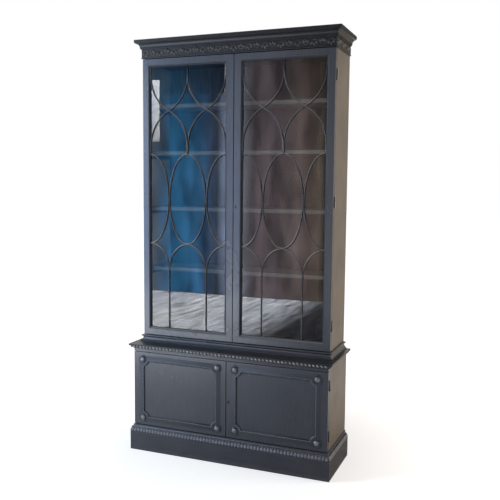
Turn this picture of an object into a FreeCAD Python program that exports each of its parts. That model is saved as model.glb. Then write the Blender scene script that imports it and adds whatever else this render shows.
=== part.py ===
import FreeCAD, Part
import math
import os
import re
import Sketcher

# Glazed bookcase on a cupboard base: an upper case with two astragal-glazed doors stands on the ledge of
# a wider and deeper cupboard with two panelled doors. The front faces -Y, +X is to the right and +Z is up.
# The origin is on the floor, in the middle of the whole piece.

doc = FreeCAD.newDocument("glazed_bookcase")
sheet = doc.addObject("Spreadsheet::Sheet", "sizes")

# Driving sizes in millimetres
SIZES = {
    # Cases, measured to the faces of their doors
    "total_height": 2200,
    "base_width": 1086,
    "base_depth": 354,
    "upper_side_setback": 16,
    "upper_front_setback": 79,
    "board_thickness": 20,
    "back_thickness": 12,
    "back_board_gap": 0.6,
    # Plinth
    "plinth_height": 97,
    "plinth_thickness": 28,
    "plinth_projection": 17.5,
    "plinth_moulding_height": 41,
    # Ledge at the waist
    "ledge_top": 586,
    "ledge_thickness": 10,
    "ledge_projection": 22,
    "ledge_moulding_height": 15,
    "ledge_moulding_projection": 19,
    "bead_radius": 5,
    "base_top_rail_height": 32,
    "waist_moulding_height": 36,
    "waist_projection": 16,
    # Head of the upper case
    "frieze_height": 49,
    "frieze_projection": 8,
    "cornice_height": 47,
    "cornice_projection": 34,
    "cornice_top_setback": 10,
    # Shelves and the bearers under their ends
    "shelf_thickness": 18,
    "shelf_setback": 25,
    "shelf_end_gap": 0.5,
    "bearer_height": 18,
    "bearer_width": 10,
    # Doors
    "door_thickness": 24,
    "hinge_gap": 1,
    "door_clearance": 3,
    "meeting_gap": 4,
    "upper_stile_width": 31,
    "upper_meeting_stile_width": 34,
    "upper_top_rail_width": 29,
    "upper_bottom_rail_width": 31,
    "sight_moulding_width": 12,
    "glass_setback": 12,
    "glass_thickness": 3,
    "glass_edge_gap": 1,
    "glazing_bead_width": 8,
    "lower_stile_width": 54,
    "lower_meeting_stile_width": 48,
    "lower_rail_width": 40,
    "panel_thickness": 14,
    # Astragal bars in front of the glass
    "bar_width": 7,
    "bar_depth": 8,
    # Planted moulding and rosettes of the cupboard doors
    "panel_moulding_width": 12,
    "panel_moulding_depth": 9,
    "corner_hollow_radius": 28,
    "rosette_radius": 19.5,
    "rosette_height": 11,
    # Butt hinges
    "knuckle_radius": 3,
    "knuckle_stand": 0.3,
    "knuckle_gap": 0.2,
    "hinge_pin_radius": 1.2,
    "running_clearance": 0.05,
    "leaf_thickness": 1.5,
    "leaf_width": 18,
    "leaf_height": 54,
    "upper_hinge_inset": 123,
    "lower_hinge_inset": 72,
    # Locks of the right doors
    "lock_height": 60,
    "lock_width": 30,
    "lock_depth": 12,
    "lock_bolt_length": 22,
    "lock_bolt_height": 18,
    "lock_bolt_thickness": 7,
    "lock_bolt_throw": 9,
    "slide_clearance": 0.3,
    "key_offset": 12,
    "keyhole_radius": 2.5,
    "keyhole_slot_width": 2.4,
    "keyhole_drop": 9,
    # Bolts behind the left doors
    "door_bolt_offset": 18,
    "door_bolt_width": 7,
    "door_bolt_thickness": 5,
    "door_bolt_throw": 12,
    "door_bolt_stand": 6,
    "bolt_plate_width": 20,
    "bolt_plate_height": 70,
    "bolt_plate_thickness": 2,
    "bolt_plate_lift": 6,
    "bolt_guide_width": 12,
    "bolt_guide_height": 12,
    "bolt_guide_depth": 11,
    "bolt_knob_radius": 3.5,
    "bolt_knob_reach": 14,
    # Allowance by which cutting shapes pass the faces they cut
    "cut_overrun": 5,
}

# Levels of shelves and locks as shares of the clear height of their case or the height of their door
SHARES = {
    "shelf_one_share": 0.242,
    "shelf_two_share": 0.4665,
    "shelf_three_share": 0.67,
    "shelf_four_share": 0.8405,
    "base_shelf_share": 0.461,
    "upper_lock_share": 0.481,
    "lower_lock_share": 0.4726,
}

# Places worked out from the driving sizes
PLACES = {
    "back_plane": "(base_depth + ledge_projection) / 2",
    "back_inside": "back_plane - back_thickness",
    "base_face": "back_plane - base_depth",
    "base_door_back": "base_face + door_thickness",
    "base_edge": "base_door_back + hinge_gap",
    "base_half": "base_width / 2",
    "base_inside": "base_half - board_thickness",
    "upper_face": "base_face + upper_front_setback",
    "upper_door_back": "upper_face + door_thickness",
    "upper_edge": "upper_door_back + hinge_gap",
    "upper_half": "base_half - upper_side_setback",
    "upper_inside": "upper_half - board_thickness",
    "plinth_half": "base_half + plinth_projection",
    "plinth_face": "base_face - plinth_projection",
    "plinth_moulding_top": "plinth_height + plinth_moulding_height",
    "ledge_bottom": "ledge_top - ledge_thickness",
    "ledge_moulding_bottom": "ledge_bottom - ledge_moulding_height",
    "base_rail_bottom": "ledge_bottom - base_top_rail_height",
    "waist_top": "ledge_top + waist_moulding_height",
    "cornice_bottom": "total_height - cornice_height",
    "frieze_bottom": "cornice_bottom - frieze_height",
    "side_top": "total_height - cornice_top_setback",
    "upper_ceiling": "frieze_bottom - board_thickness",
    "upper_clear_height": "upper_ceiling - waist_top",
    "base_clear_height": "ledge_bottom - plinth_moulding_top",
    "shelf_one_level": "waist_top + upper_clear_height * shelf_one_share",
    "shelf_two_level": "waist_top + upper_clear_height * shelf_two_share",
    "shelf_three_level": "waist_top + upper_clear_height * shelf_three_share",
    "shelf_four_level": "waist_top + upper_clear_height * shelf_four_share",
    "base_shelf_level": "plinth_moulding_top + base_clear_height * base_shelf_share",
    "upper_door_bottom": "waist_top + door_clearance",
    "upper_door_top": "frieze_bottom - door_clearance",
    "lower_door_bottom": "plinth_moulding_top + door_clearance",
    "lower_door_top": "base_rail_bottom - door_clearance",
    "upper_lock_level": "upper_door_bottom + (upper_door_top - upper_door_bottom) * upper_lock_share",
    "lower_lock_level": "lower_door_bottom + (lower_door_top - lower_door_bottom) * lower_lock_share",
    "meeting_edge": "meeting_gap / 2",
    "opening_inner": "meeting_edge + upper_meeting_stile_width",
    "opening_outer": "upper_half - upper_stile_width",
    "opening_bottom": "upper_door_bottom + upper_bottom_rail_width",
    "opening_top": "upper_door_top - upper_top_rail_width",
    "sight_inner": "opening_inner + sight_moulding_width",
    "sight_outer": "opening_outer - sight_moulding_width",
    "sight_bottom": "opening_bottom + sight_moulding_width",
    "sight_top": "opening_top - sight_moulding_width",
    "glass_front": "upper_face + glass_setback",
    "glass_back": "glass_front + glass_thickness",
    "panel_inner": "meeting_edge + lower_meeting_stile_width",
    "panel_outer": "base_half - lower_stile_width",
    "panel_bottom": "lower_door_bottom + lower_rail_width",
    "panel_top": "lower_door_top - lower_rail_width",
    "hinge_offset": "knuckle_radius + knuckle_stand",
}

# Section outlines as shares of a projection and a height, with the bulge of each arc as a share of its chord
PLINTH_SHARES = [
    (0, 0, 0), (1, 0, 0), (1, 0.12, 0), (0.66, 0.56, 0.14), (0.25, 0.9, -0.12), (0.25, 1, 0), (0, 1, 0),
]
LEDGE_SHARES = [(0, 0, 0), (0.25, 0, 0), (0.75, 0.34, -0.2), (0.75, 1, 0), (0, 1, 0)]
WAIST_SHARES = [
    (0, 0, 0), (1, 0, 0), (1, 0.17, 0), (0.9, 0.17, 0), (0.3, 0.74, -0.2), (0.5, 0.74, 0), (0.5, 1, 0.4),
    (0, 1, 0),
]
FRIEZE_SHARES = [(0, 0, 0), (0.5, 0, 0), (0.5, 0.12, 0.42), (0.5, 1, 0), (0, 1, 0)]
CORNICE_SHARES = [
    (0, 0, 0), (0.26, 0, 0), (0.26, 0.12, 0), (0.35, 0.12, 0), (0.82, 0.62, -0.2), (0.92, 0.62, 0),
    (0.92, 0.7, 0), (1, 0.7, 0), (1, 1, 0), (0, 1, 0),
]
SIGHT_SHARES = [(0, 0, 0), (1, 0, 0), (1, 0.45, 0), (0.8, 0.45, 0), (0.2, 1, 0.18), (0, 1, 0)]
ROSETTE_SHARES = [(1, 0), (1, 0.3), (0.72, 0.42), (0.34, 1)]

# Heights in the tracery as shares of the glass height, and the shift of paired bars as a share of their width
OVAL_TOP_SHARE = 0.67
OVAL_BOTTOM_SHARE = 0.33
ARCH_SPRING_SHARE = 0.221
OGEE_LEG_SHARE = 0.036
PAIR_SHIFT_SHARE = 0.4
KNUCKLE_SHARES = {"case": (0, 0.5), "door": (0.5, 1)}

RIGHT_ANGLE = 90
HALF_TURN = 180
BACK_BOARDS = 8
ROSETTE_FACETS = 16
KNUCKLE_FACETS = 12
SIDES = ("left", "right")

for row, (alias, size) in enumerate({**SIZES, **SHARES}.items(), start=1):
    sheet.set("A%d" % row, alias)
    sheet.set("B%d" % row, str(size))
    sheet.setAlias("B%d" % row, alias)
doc.recompute()


def bound(text):
    """Write a sum over named sizes and places as an expression over the sheet's cells."""

    def swap(match):
        word = match.group(0)
        if word in PLACES:
            return "(" + bound(PLACES[word]) + ")"
        if word in SIZES or word in SHARES:
            return "sizes." + word
        return word

    return re.sub(r"[a-z_]+", swap, text)


def value(text):
    """The present size of a sum over named sizes and places."""
    return float(sheet.evalExpression(bound(text)))


def sided(side, low, high):
    """The span of a piece on the right side, or its mirror image on the left side."""
    if side == "right":
        return low, high
    return "-(%s)" % high, "-(%s)" % low


def seat(piece, x, y, z):
    """Tie a piece's place to the sheet."""
    for axis, text in zip("xyz", (x, y, z)):
        piece.setExpression("Placement.Base." + axis, bound(text))


# Plain pieces


def board(name, x, y, z):
    """A rectangular board between two places along each axis."""
    piece = doc.addObject("Part::Box", name)
    for size, (low, high) in zip(("Length", "Width", "Height"), (x, y, z)):
        piece.setExpression(size, bound("(%s) - (%s)" % (high, low)))
    seat(piece, x[0], y[0], z[0])
    return piece


ROD_TURNS = {
    "x": FreeCAD.Rotation(FreeCAD.Vector(0, 1, 0), RIGHT_ANGLE),
    "y": FreeCAD.Rotation(FreeCAD.Vector(1, 0, 0), -RIGHT_ANGLE),
    "z": FreeCAD.Rotation(),
}


def rod(name, axis, start, length, radius):
    """A round rod that runs from its start along one axis."""
    piece = doc.addObject("Part::Cylinder", name)
    piece.Placement = FreeCAD.Placement(FreeCAD.Vector(), ROD_TURNS[axis])
    piece.setExpression("Radius", bound(radius))
    piece.setExpression("Height", bound(length))
    seat(piece, *start)
    return piece


def faceted_rod(name, start, length, radius, facets):
    """An upright rod with flat facets."""
    piece = doc.addObject("Part::Prism", name)
    piece.Polygon = facets
    piece.setExpression("Circumradius", bound(radius))
    piece.setExpression("Height", bound(length))
    seat(piece, *start)
    return piece


def group(name, pieces):
    """Separate solids that share one node."""
    piece = doc.addObject("Part::Compound", name)
    piece.Links = pieces
    return piece


def join(name, pieces):
    """Pieces made as one solid."""
    piece = doc.addObject("Part::MultiFuse", name)
    piece.Shapes = pieces
    piece.Refine = True
    return piece


def cut(name, base, rooms):
    """A piece with the given rooms taken out of it."""
    piece = doc.addObject("Part::Cut", name)
    piece.Base = base
    piece.Tool = rooms[0] if len(rooms) == 1 else join(name + "_rooms", rooms)
    piece.Refine = True
    return piece


# Sections drawn as sketches


def bulge_point(start, end, bulge):
    """The middle of an arc whose height is a share of its chord, to the left of the way from start to end."""
    chord = end - start
    return (start + end) / 2 + FreeCAD.Vector(-chord.y, chord.x, 0) * bulge


def end_number(sketch, edge, place):
    """Which end of a sketch edge lies at a place."""
    if sketch.getPoint(edge, 1).distanceToPoint(place) < sketch.getPoint(edge, 2).distanceToPoint(place):
        return 1
    return 2


def tie(sketch, constraint, name, text):
    """Add a named constraint whose size comes from the sheet."""
    sketch.renameConstraint(sketch.addConstraint(constraint), name)
    sketch.setExpression("Constraints." + name, bound(text))


def add_outline(sketch, corners):
    """Draw one closed outline. Each corner is its place and the bulge of the edge that leads to it."""
    first = sketch.GeometryCount
    places = [FreeCAD.Vector(value(across), value(up), 0) for across, up, bulge in corners]
    for index, (across, up, bulge) in enumerate(corners):
        start, end = places[index - 1], places[index]
        if bulge:
            sketch.addGeometry(Part.Arc(start, bulge_point(start, end, bulge), end), False)
        else:
            sketch.addGeometry(Part.LineSegment(start, end), False)
    for index, (across, up, bulge) in enumerate(corners):
        edge = first + index
        after = first + (index + 1) % len(corners)
        here = end_number(sketch, edge, places[index])
        there = end_number(sketch, after, places[index])
        sketch.addConstraint(Sketcher.Constraint("Coincident", edge, here, after, there))
        spot = places[index]
        tie(sketch, Sketcher.Constraint("DistanceX", -1, 1, edge, here, spot.x), "across%d" % edge, across)
        tie(sketch, Sketcher.Constraint("DistanceY", -1, 1, edge, here, spot.y), "up%d" % edge, up)
        if bulge:
            before = corners[index - 1]
            chord = "sqrt((%s - (%s))^2 + (%s - (%s))^2)" % (across, before[0], up, before[1])
            radius = "%s * %s" % (chord, (1 + 4 * bulge ** 2) / (8 * abs(bulge)))
            tie(sketch, Sketcher.Constraint("Radius", edge, value(radius)), "radius%d" % edge, radius)


def outline_sketch(body, name, role, outlines):
    """A sketch of closed outlines on one of a body's own origin planes."""
    sketch = body.newObject("Sketcher::SketchObject", name)
    plane = next(item for item in body.Origin.OriginFeatures if item.Role == role)
    sketch.AttachmentSupport = [(plane, "")]
    sketch.MapMode = "FlatFace"
    for outline in outlines:
        add_outline(sketch, outline)
    return sketch


# Mouldings


def mitre_outline(end, style, reach, length):
    """The corner that a mitre takes off one end of a moulding, seen from above."""
    past = "(%s + cut_overrun)" % reach
    near, far = "-cut_overrun", past
    if end == "end":
        near, far = "%s + cut_overrun" % length, "%s - %s" % (length, past)
    if style == "outside":
        return [(far, "cut_overrun", 0), (near, "cut_overrun", 0), (near, "-" + past, 0)]
    return [(near, "cut_overrun", 0), (far, "-" + past, 0), (near, "-" + past, 0)]


def moulding(name, shares, reach, rise, length, ends):
    """A length of moulding along its own X axis, with its back on Y = 0 and the ends it is asked for."""
    body = doc.addObject("PartDesign::Body", name)
    outline = [("-%s * %s" % (reach, out), "%s * %s" % (rise, up), bulge) for out, up, bulge in shares]
    run = body.newObject("PartDesign::Pad", name + "_run")
    run.Profile = outline_sketch(body, name + "_section", "YZ_Plane", [outline])
    run.setExpression("Length", bound(length))
    doc.recompute()
    corners = []
    for end, style in zip(("start", "end"), ends):
        if style != "square":
            corners.append(mitre_outline(end, style, reach, length))
    mitre = body.newObject("PartDesign::Pocket", name + "_mitre")
    mitre.Profile = outline_sketch(body, name + "_mitre_lines", "XY_Plane", corners)
    mitre.Type = "ThroughAll"
    mitre.Reversed = True
    body.Tip = mitre
    return body


def moulding_round_case(name, shares, reach, rise, half, face, level):
    """A front length and two returns, mitred at the front corners and square at the back."""
    width = "2 * (%s + %s)" % (half, reach)
    front = moulding(name + "_front", shares, reach, rise, width, ("outside", "outside"))
    seat(front, "-(%s + %s)" % (half, reach), face, level)
    depth = "(back_plane - %s + %s)" % (face, reach)
    right = moulding(name + "_right", shares, reach, rise, depth, ("outside", "square"))
    right.Placement.Rotation = FreeCAD.Rotation(FreeCAD.Vector(0, 0, 1), RIGHT_ANGLE)
    seat(right, half, "%s - %s" % (face, reach), level)
    left = moulding(name + "_left", shares, reach, rise, depth, ("square", "outside"))
    left.Placement.Rotation = FreeCAD.Rotation(FreeCAD.Vector(0, 0, 1), -RIGHT_ANGLE)
    seat(left, "-" + half, "back_plane", level)
    return group(name, [front, left, right])


# What differs between the two cases and their doors
CASES = {
    "upper": {
        "half": "upper_half",
        "inside": "upper_inside",
        "face": "upper_face",
        "door_back": "upper_door_back",
        "edge": "upper_edge",
        "side_span": ("ledge_top", "side_top"),
        "floor": "waist_top",
        "door_bottom": "upper_door_bottom",
        "door_top": "upper_door_top",
        "inner": "opening_inner",
        "outer": "opening_outer",
        "field_bottom": "opening_bottom",
        "field_top": "opening_top",
        "lock_level": "upper_lock_level",
        "hinge_levels": [
            "upper_door_bottom + upper_hinge_inset",
            "(upper_door_bottom + upper_door_top) / 2",
            "upper_door_top - upper_hinge_inset",
        ],
        "shelf_levels": ["shelf_one_level", "shelf_two_level", "shelf_three_level", "shelf_four_level"],
    },
    "lower": {
        "half": "base_half",
        "inside": "base_inside",
        "face": "base_face",
        "door_back": "base_door_back",
        "edge": "base_edge",
        "side_span": ("plinth_height", "ledge_bottom"),
        "floor": "plinth_moulding_top",
        "door_bottom": "lower_door_bottom",
        "door_top": "lower_door_top",
        "inner": "panel_inner",
        "outer": "panel_outer",
        "field_bottom": "panel_bottom",
        "field_top": "panel_top",
        "lock_level": "lower_lock_level",
        "hinge_levels": ["lower_door_bottom + lower_hinge_inset", "lower_door_top - lower_hinge_inset"],
        "shelf_levels": ["base_shelf_level"],
    },
}


# Case boards


def across(half):
    """A span from one side of the middle to the other."""
    return "-(%s)" % half, half


def plinth_frame():
    """Four boards on the floor that carry the cupboard."""
    inside = "plinth_half - plinth_thickness"
    behind = "plinth_face + plinth_thickness"
    height = ("0", "plinth_height")
    boards = [board("plinth_front", across("plinth_half"), ("plinth_face", behind), height)]
    for side in SIDES:
        width = sided(side, inside, "plinth_half")
        boards.append(board("plinth_" + side, width, (behind, "back_plane"), height))
    back_depth = ("back_plane - plinth_thickness", "back_plane")
    boards.append(board("plinth_back", across(inside), back_depth, height))
    return group("plinth_frame", boards)


def leaf_span(level):
    """The height that a hinge leaf takes up."""
    return level + " - leaf_height / 2", level + " + leaf_height / 2"


def case_side(case, side, name):
    """An upright side with shallow seats for the hinge leaves."""
    parts = CASES[case]
    width = sided(side, parts["inside"], parts["half"])
    blank = board(name + "_blank", width, (parts["edge"], "back_plane"), parts["side_span"])
    rooms = []
    leaf_width = sided(side, parts["half"] + " - leaf_width", parts["half"] + " + cut_overrun")
    leaf_depth = (parts["edge"] + " - cut_overrun", parts["edge"] + " + leaf_thickness")
    for number, level in enumerate(parts["hinge_levels"], start=1):
        rooms.append(board("%s_leaf_seat_%d" % (name, number), leaf_width, leaf_depth, leaf_span(level)))
    return cut(name, blank, rooms)


def bolt_axis(case):
    """The upright line along which the bolt behind a left door slides."""
    depth = CASES[case]["door_back"] + " + bolt_plate_thickness + door_bolt_stand"
    return "-(meeting_edge + door_bolt_offset)", depth


def bolt_room(name, case, clearance, span):
    """A square room along the path of a door's bolt."""
    x, y = bolt_axis(case)
    width = "(door_bolt_width / 2 + %s)" % clearance
    depth = "(door_bolt_thickness / 2 + %s)" % clearance
    across_bolt = ("%s - %s" % (x, width), "%s + %s" % (x, width))
    through_bolt = ("%s - %s" % (y, depth), "%s + %s" % (y, depth))
    return board(name, across_bolt, through_bolt, span)


def floor_board(case, name):
    """A bottom board with a hole for the bolt of the left door."""
    parts = CASES[case]
    floor = parts["floor"]
    span = (floor + " - board_thickness", floor)
    blank = board(name + "_blank", across(parts["inside"]), (parts["edge"], "back_inside"), span)
    hole_span = (floor + " - door_bolt_throw", floor + " + cut_overrun")
    return cut(name, blank, [bolt_room(name + "_bolt_hole", case, "slide_clearance", hole_span)])


def back_boards(case, name, low, high):
    """Upright boards that close the back between the sides."""
    inside = CASES[case]["inside"]
    boards = []
    for number in range(BACK_BOARDS):
        start = "-(%s) + 2 * %s * %d / %d" % (inside, inside, number, BACK_BOARDS)
        end = "-(%s) + 2 * %s * %d / %d - back_board_gap" % (inside, inside, number + 1, BACK_BOARDS)
        depth = ("back_inside", "back_plane")
        boards.append(board("%s_%d" % (name, number), (start, end), depth, (low, high)))
    return group(name, boards)


def shelf(case, name, level):
    """A loose shelf that lies on two bearers."""
    parts = CASES[case]
    width = across(parts["inside"] + " - shelf_end_gap")
    depth = (parts["edge"] + " + shelf_setback", "back_inside - shelf_end_gap")
    return board(name, width, depth, (level, level + " + shelf_thickness"))


def shelf_bearers():
    """Strips on the sides under the ends of every shelf."""
    strips = []
    for case, parts in CASES.items():
        depth = (parts["edge"] + " + shelf_setback", "back_inside")
        for number, level in enumerate(parts["shelf_levels"], start=1):
            for side in SIDES:
                width = sided(side, parts["inside"] + " - bearer_width", parts["inside"])
                name = "%s_bearer_%d_%s" % (case, number, side)
                strips.append(board(name, width, depth, (level + " - bearer_height", level)))
    return group("shelf_bearers", strips)


def front_rail(case, name, low, high):
    """A rail in the plane of the doors, above or below them."""
    parts = CASES[case]
    return board(name, across(parts["half"]), (parts["face"], parts["edge"]), (low, high))


def bead_strip():
    """The half-round strip on the front of the ledge moulding."""
    piece = doc.addObject("Part::Cylinder", "ledge_bead_strip")
    turn = FreeCAD.Rotation(FreeCAD.Vector(0, 0, 1), FreeCAD.Vector(0, -1, 0), FreeCAD.Vector(1, 0, 0), "ZXY")
    piece.Placement = FreeCAD.Placement(FreeCAD.Vector(), turn)
    piece.Angle = HALF_TURN
    piece.setExpression("Radius", bound("bead_radius"))
    piece.setExpression("Height", bound("2 * base_half"))
    flat_share = LEDGE_SHARES[2][0]
    front = "base_face - ledge_moulding_projection * %s" % flat_share
    seat(piece, "-base_half", front, "ledge_bottom - bead_radius")
    return piece


# Hinges


def hinge_axis(case, side):
    """The upright line through the pins of one door's hinges."""
    parts = CASES[case]
    offset = parts["half"] + " + hinge_offset"
    return sided(side, offset, offset)[0], parts["edge"] + " - hinge_gap / 2"


def hinge_leaf(name, case, side, owner, depth, level):
    """A leaf let in flush. The case's lower knuckle carries the pin, and the door's upper one turns on it."""
    half = CASES[case]["half"]
    x, y = hinge_axis(case, side)
    bottom, top = leaf_span(level)
    low, high = KNUCKLE_SHARES[owner]
    start = "%s + leaf_height * %s + knuckle_gap / 2" % (bottom, low)
    end = "%s + leaf_height * %s - knuckle_gap / 2" % (bottom, high)
    knuckle_length = "%s - (%s)" % (end, start)
    solids = [
        board(name + "_plate", sided(side, half + " - leaf_width", half), depth, (bottom, top)),
        board(name + "_tab", sided(side, half, half + " + hinge_offset"), depth, (start, end)),
        faceted_rod(name + "_knuckle", (x, y, start), knuckle_length, "knuckle_radius", KNUCKLE_FACETS),
    ]
    if owner == "case":
        solids.append(rod(name + "_pin", "z", (x, y, start), "leaf_height - knuckle_gap", "hinge_pin_radius"))
        return join(name, solids)
    bore_start = (x, y, bottom + " - cut_overrun")
    bore_radius = "hinge_pin_radius + running_clearance"
    bore = rod(name + "_bore", "z", bore_start, "leaf_height + 2 * cut_overrun", bore_radius)
    return cut(name, join(name + "_solid", solids), [bore])


def hinge_leaves(case, side, owner, name, depth):
    """The leaves of one door's hinges on the case or on the door."""
    leaves = []
    for number, level in enumerate(CASES[case]["hinge_levels"], start=1):
        leaves.append(hinge_leaf("%s_%d" % (name, number), case, side, owner, depth, level))
    return leaves


def case_leaf_group():
    """Every leaf that is screwed to a case side, with its pin."""
    leaves = []
    for case, parts in CASES.items():
        depth = (parts["edge"], parts["edge"] + " + leaf_thickness")
        for side in SIDES:
            leaves += hinge_leaves(case, side, "case", "%s_%s_case_leaf" % (case, side), depth)
    return group("hinge_case_leaves", leaves)


def door_leaf_group(case, side):
    """The leaves on the back of one door."""
    back = CASES[case]["door_back"]
    depth = (back + " - leaf_thickness", back)
    name = "%s_%s_hinge_leaves" % (case, side)
    return group(name, hinge_leaves(case, side, "door", name[:-1], depth))


# Door frames


def lock_span(case, size):
    """A height centred on a lock."""
    level = CASES[case]["lock_level"]
    return "%s - (%s) / 2" % (level, size), "%s + (%s) / 2" % (level, size)


def bolt_slot(name, case, x, clearance):
    """A room round the path of a lock's bolt."""
    middle = CASES[case]["door_back"] + " - lock_depth / 2"
    half = "(lock_bolt_thickness / 2 + %s)" % clearance
    depth = ("%s - %s" % (middle, half), "%s + %s" % (middle, half))
    return board(name, x, depth, lock_span(case, "lock_bolt_height + 2 * " + clearance))


def keyhole(name, case):
    """A round hole with a slot below it, from the door's face to its lock."""
    parts = CASES[case]
    start = parts["face"] + " - cut_overrun"
    depth = "cut_overrun + door_thickness - lock_depth / 2"
    level = parts["lock_level"]
    middle = "meeting_edge + key_offset"
    top = rod(name + "_round", "y", (middle, start, level), depth, "keyhole_radius")
    width = (middle + " - keyhole_slot_width / 2", middle + " + keyhole_slot_width / 2")
    span = (level + " - keyhole_drop", level)
    slot = board(name + "_slot", width, (start, "%s + %s" % (start, depth)), span)
    return [top, slot]


def meeting_stile(case, side, name):
    """The stile at the middle: the right one holds the lock, and the left one takes its bolt."""
    parts = CASES[case]
    depth = (parts["face"], parts["door_back"])
    height = (parts["door_bottom"], parts["door_top"])
    blank = board(name + "_blank", sided(side, "meeting_edge", parts["inner"]), depth, height)
    if side == "left":
        strike = sided(side, "meeting_edge - cut_overrun", "meeting_edge + lock_bolt_throw")
        return cut(name, blank, [bolt_slot(name + "_strike", case, strike, "slide_clearance")])
    lock_width = ("meeting_edge - cut_overrun", "meeting_edge + lock_width")
    lock_depth = (parts["door_back"] + " - lock_depth", parts["door_back"] + " + cut_overrun")
    lock_room = board(name + "_lock_room", lock_width, lock_depth, lock_span(case, "lock_height"))
    return cut(name, blank, [lock_room] + keyhole(name + "_keyhole", case))


def hinge_stile(case, side, name):
    """The outer stile, with shallow seats for the hinge leaves in its back."""
    parts = CASES[case]
    depth = (parts["face"], parts["door_back"])
    height = (parts["door_bottom"], parts["door_top"])
    blank = board(name + "_blank", sided(side, parts["outer"], parts["half"]), depth, height)
    leaf_width = sided(side, parts["half"] + " - leaf_width", parts["half"] + " + cut_overrun")
    leaf_depth = (parts["door_back"] + " - leaf_thickness", parts["door_back"] + " + cut_overrun")
    rooms = []
    for number, level in enumerate(parts["hinge_levels"], start=1):
        rooms.append(board("%s_leaf_seat_%d" % (name, number), leaf_width, leaf_depth, leaf_span(level)))
    return cut(name, blank, rooms)


def door_frame(case, side):
    """Two stiles from end to end and two rails between them."""
    parts = CASES[case]
    name = "%s_%s_frame" % (case, side)
    width = sided(side, parts["inner"], parts["outer"])
    depth = (parts["face"], parts["door_back"])
    pieces = [
        hinge_stile(case, side, name + "_hinge_stile"),
        meeting_stile(case, side, name + "_meeting_stile"),
        board(name + "_bottom_rail", width, depth, (parts["door_bottom"], parts["field_bottom"])),
        board(name + "_top_rail", width, depth, (parts["field_top"], parts["door_top"])),
    ]
    return group(name, pieces)


# Glazing of the upper doors


def glass_moulding(side):
    """Four mitred lengths round the opening, which stand in front of the glass."""
    name = "upper_%s_glass_moulding" % side
    left, right = sided(side, "opening_inner", "opening_outer")
    width = "(%s - (%s))" % (right, left)
    height = "(opening_top - opening_bottom)"
    runs = [
        ("bottom", width, right, "opening_bottom"),
        ("left", height, left, "opening_bottom"),
        ("top", width, left, "opening_top"),
        ("right", height, right, "opening_top"),
    ]
    along, outward, upward = FreeCAD.Vector(-1, 0, 0), FreeCAD.Vector(0, 0, -1), FreeCAD.Vector(0, -1, 0)
    lying = FreeCAD.Rotation(along, outward, upward, "ZXY")
    reach, rise, ends = "sight_moulding_width", "glass_setback", ("inside", "inside")
    lengths = []
    for number, (edge, length, x, z) in enumerate(runs):
        piece = moulding("%s_%s" % (name, edge), SIGHT_SHARES, reach, rise, length, ends)
        turn = FreeCAD.Rotation(FreeCAD.Vector(0, 1, 0), RIGHT_ANGLE * number)
        piece.Placement.Rotation = turn.multiply(lying)
        seat(piece, x, "glass_front", z)
        lengths.append(piece)
    return group(name, lengths)


def glass_pane(side):
    """One sheet of glass against the back of the moulding."""
    width = sided(side, "opening_inner + glass_edge_gap", "opening_outer - glass_edge_gap")
    height = ("opening_bottom + glass_edge_gap", "opening_top - glass_edge_gap")
    return board("upper_%s_glass" % side, width, ("glass_front", "glass_back"), height)


def glazing_beads(side):
    """Square beads that hold the glass from behind."""
    name = "upper_%s_glazing_beads" % side
    depth = ("glass_back", "upper_door_back")
    width = sided(side, "opening_inner", "opening_outer")
    inner = sided(side, "opening_inner", "opening_inner + glazing_bead_width")
    outer = sided(side, "opening_outer - glazing_bead_width", "opening_outer")
    low = ("opening_bottom", "opening_bottom + glazing_bead_width")
    high = ("opening_top - glazing_bead_width", "opening_top")
    between = (low[1], high[0])
    beads = [
        board(name + "_bottom", width, depth, low),
        board(name + "_top", width, depth, high),
        board(name + "_inner", inner, depth, between),
        board(name + "_outer", outer, depth, between),
    ]
    return group(name, beads)


# Astragal tracery, drawn on the front of the glass


def on_plane(plane, x, z):
    """A point on an upright plane."""
    return FreeCAD.Vector(x, value(plane), z)


def rectangle_face(plane, left, right, bottom, top):
    """An upright rectangle."""
    corners = [(left, bottom), (right, bottom), (right, top), (left, top), (left, bottom)]
    return Part.Face(Part.makePolygon([on_plane(plane, x, z) for x, z in corners]))


def oval_face(plane, x, z, half_width, half_height):
    """An upright ellipse."""
    tip = on_plane(plane, x, z + half_height)
    flank = on_plane(plane, x + half_width, z)
    ends = (tip, flank) if half_height > half_width else (flank, tip)
    return Part.Face(Part.Wire(Part.Ellipse(*ends, on_plane(plane, x, z)).toShape()))


def disc_face(plane, x, z, radius):
    """An upright disc."""
    rim = Part.Circle(on_plane(plane, x, z), FreeCAD.Vector(0, -1, 0), radius)
    return Part.Face(Part.Wire(rim.toShape()))


def oval_bar(x, z, half_width, half_height, width):
    """A bar that follows an ellipse."""
    outer = oval_face("glass_front", x, z, half_width + width / 2, half_height + width / 2)
    return outer.cut(oval_face("glass_front", x, z, half_width - width / 2, half_height - width / 2))


def upright_bar(x, low, high, width):
    """A straight bar."""
    return rectangle_face("glass_front", x - width / 2, x + width / 2, low, high)


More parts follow.
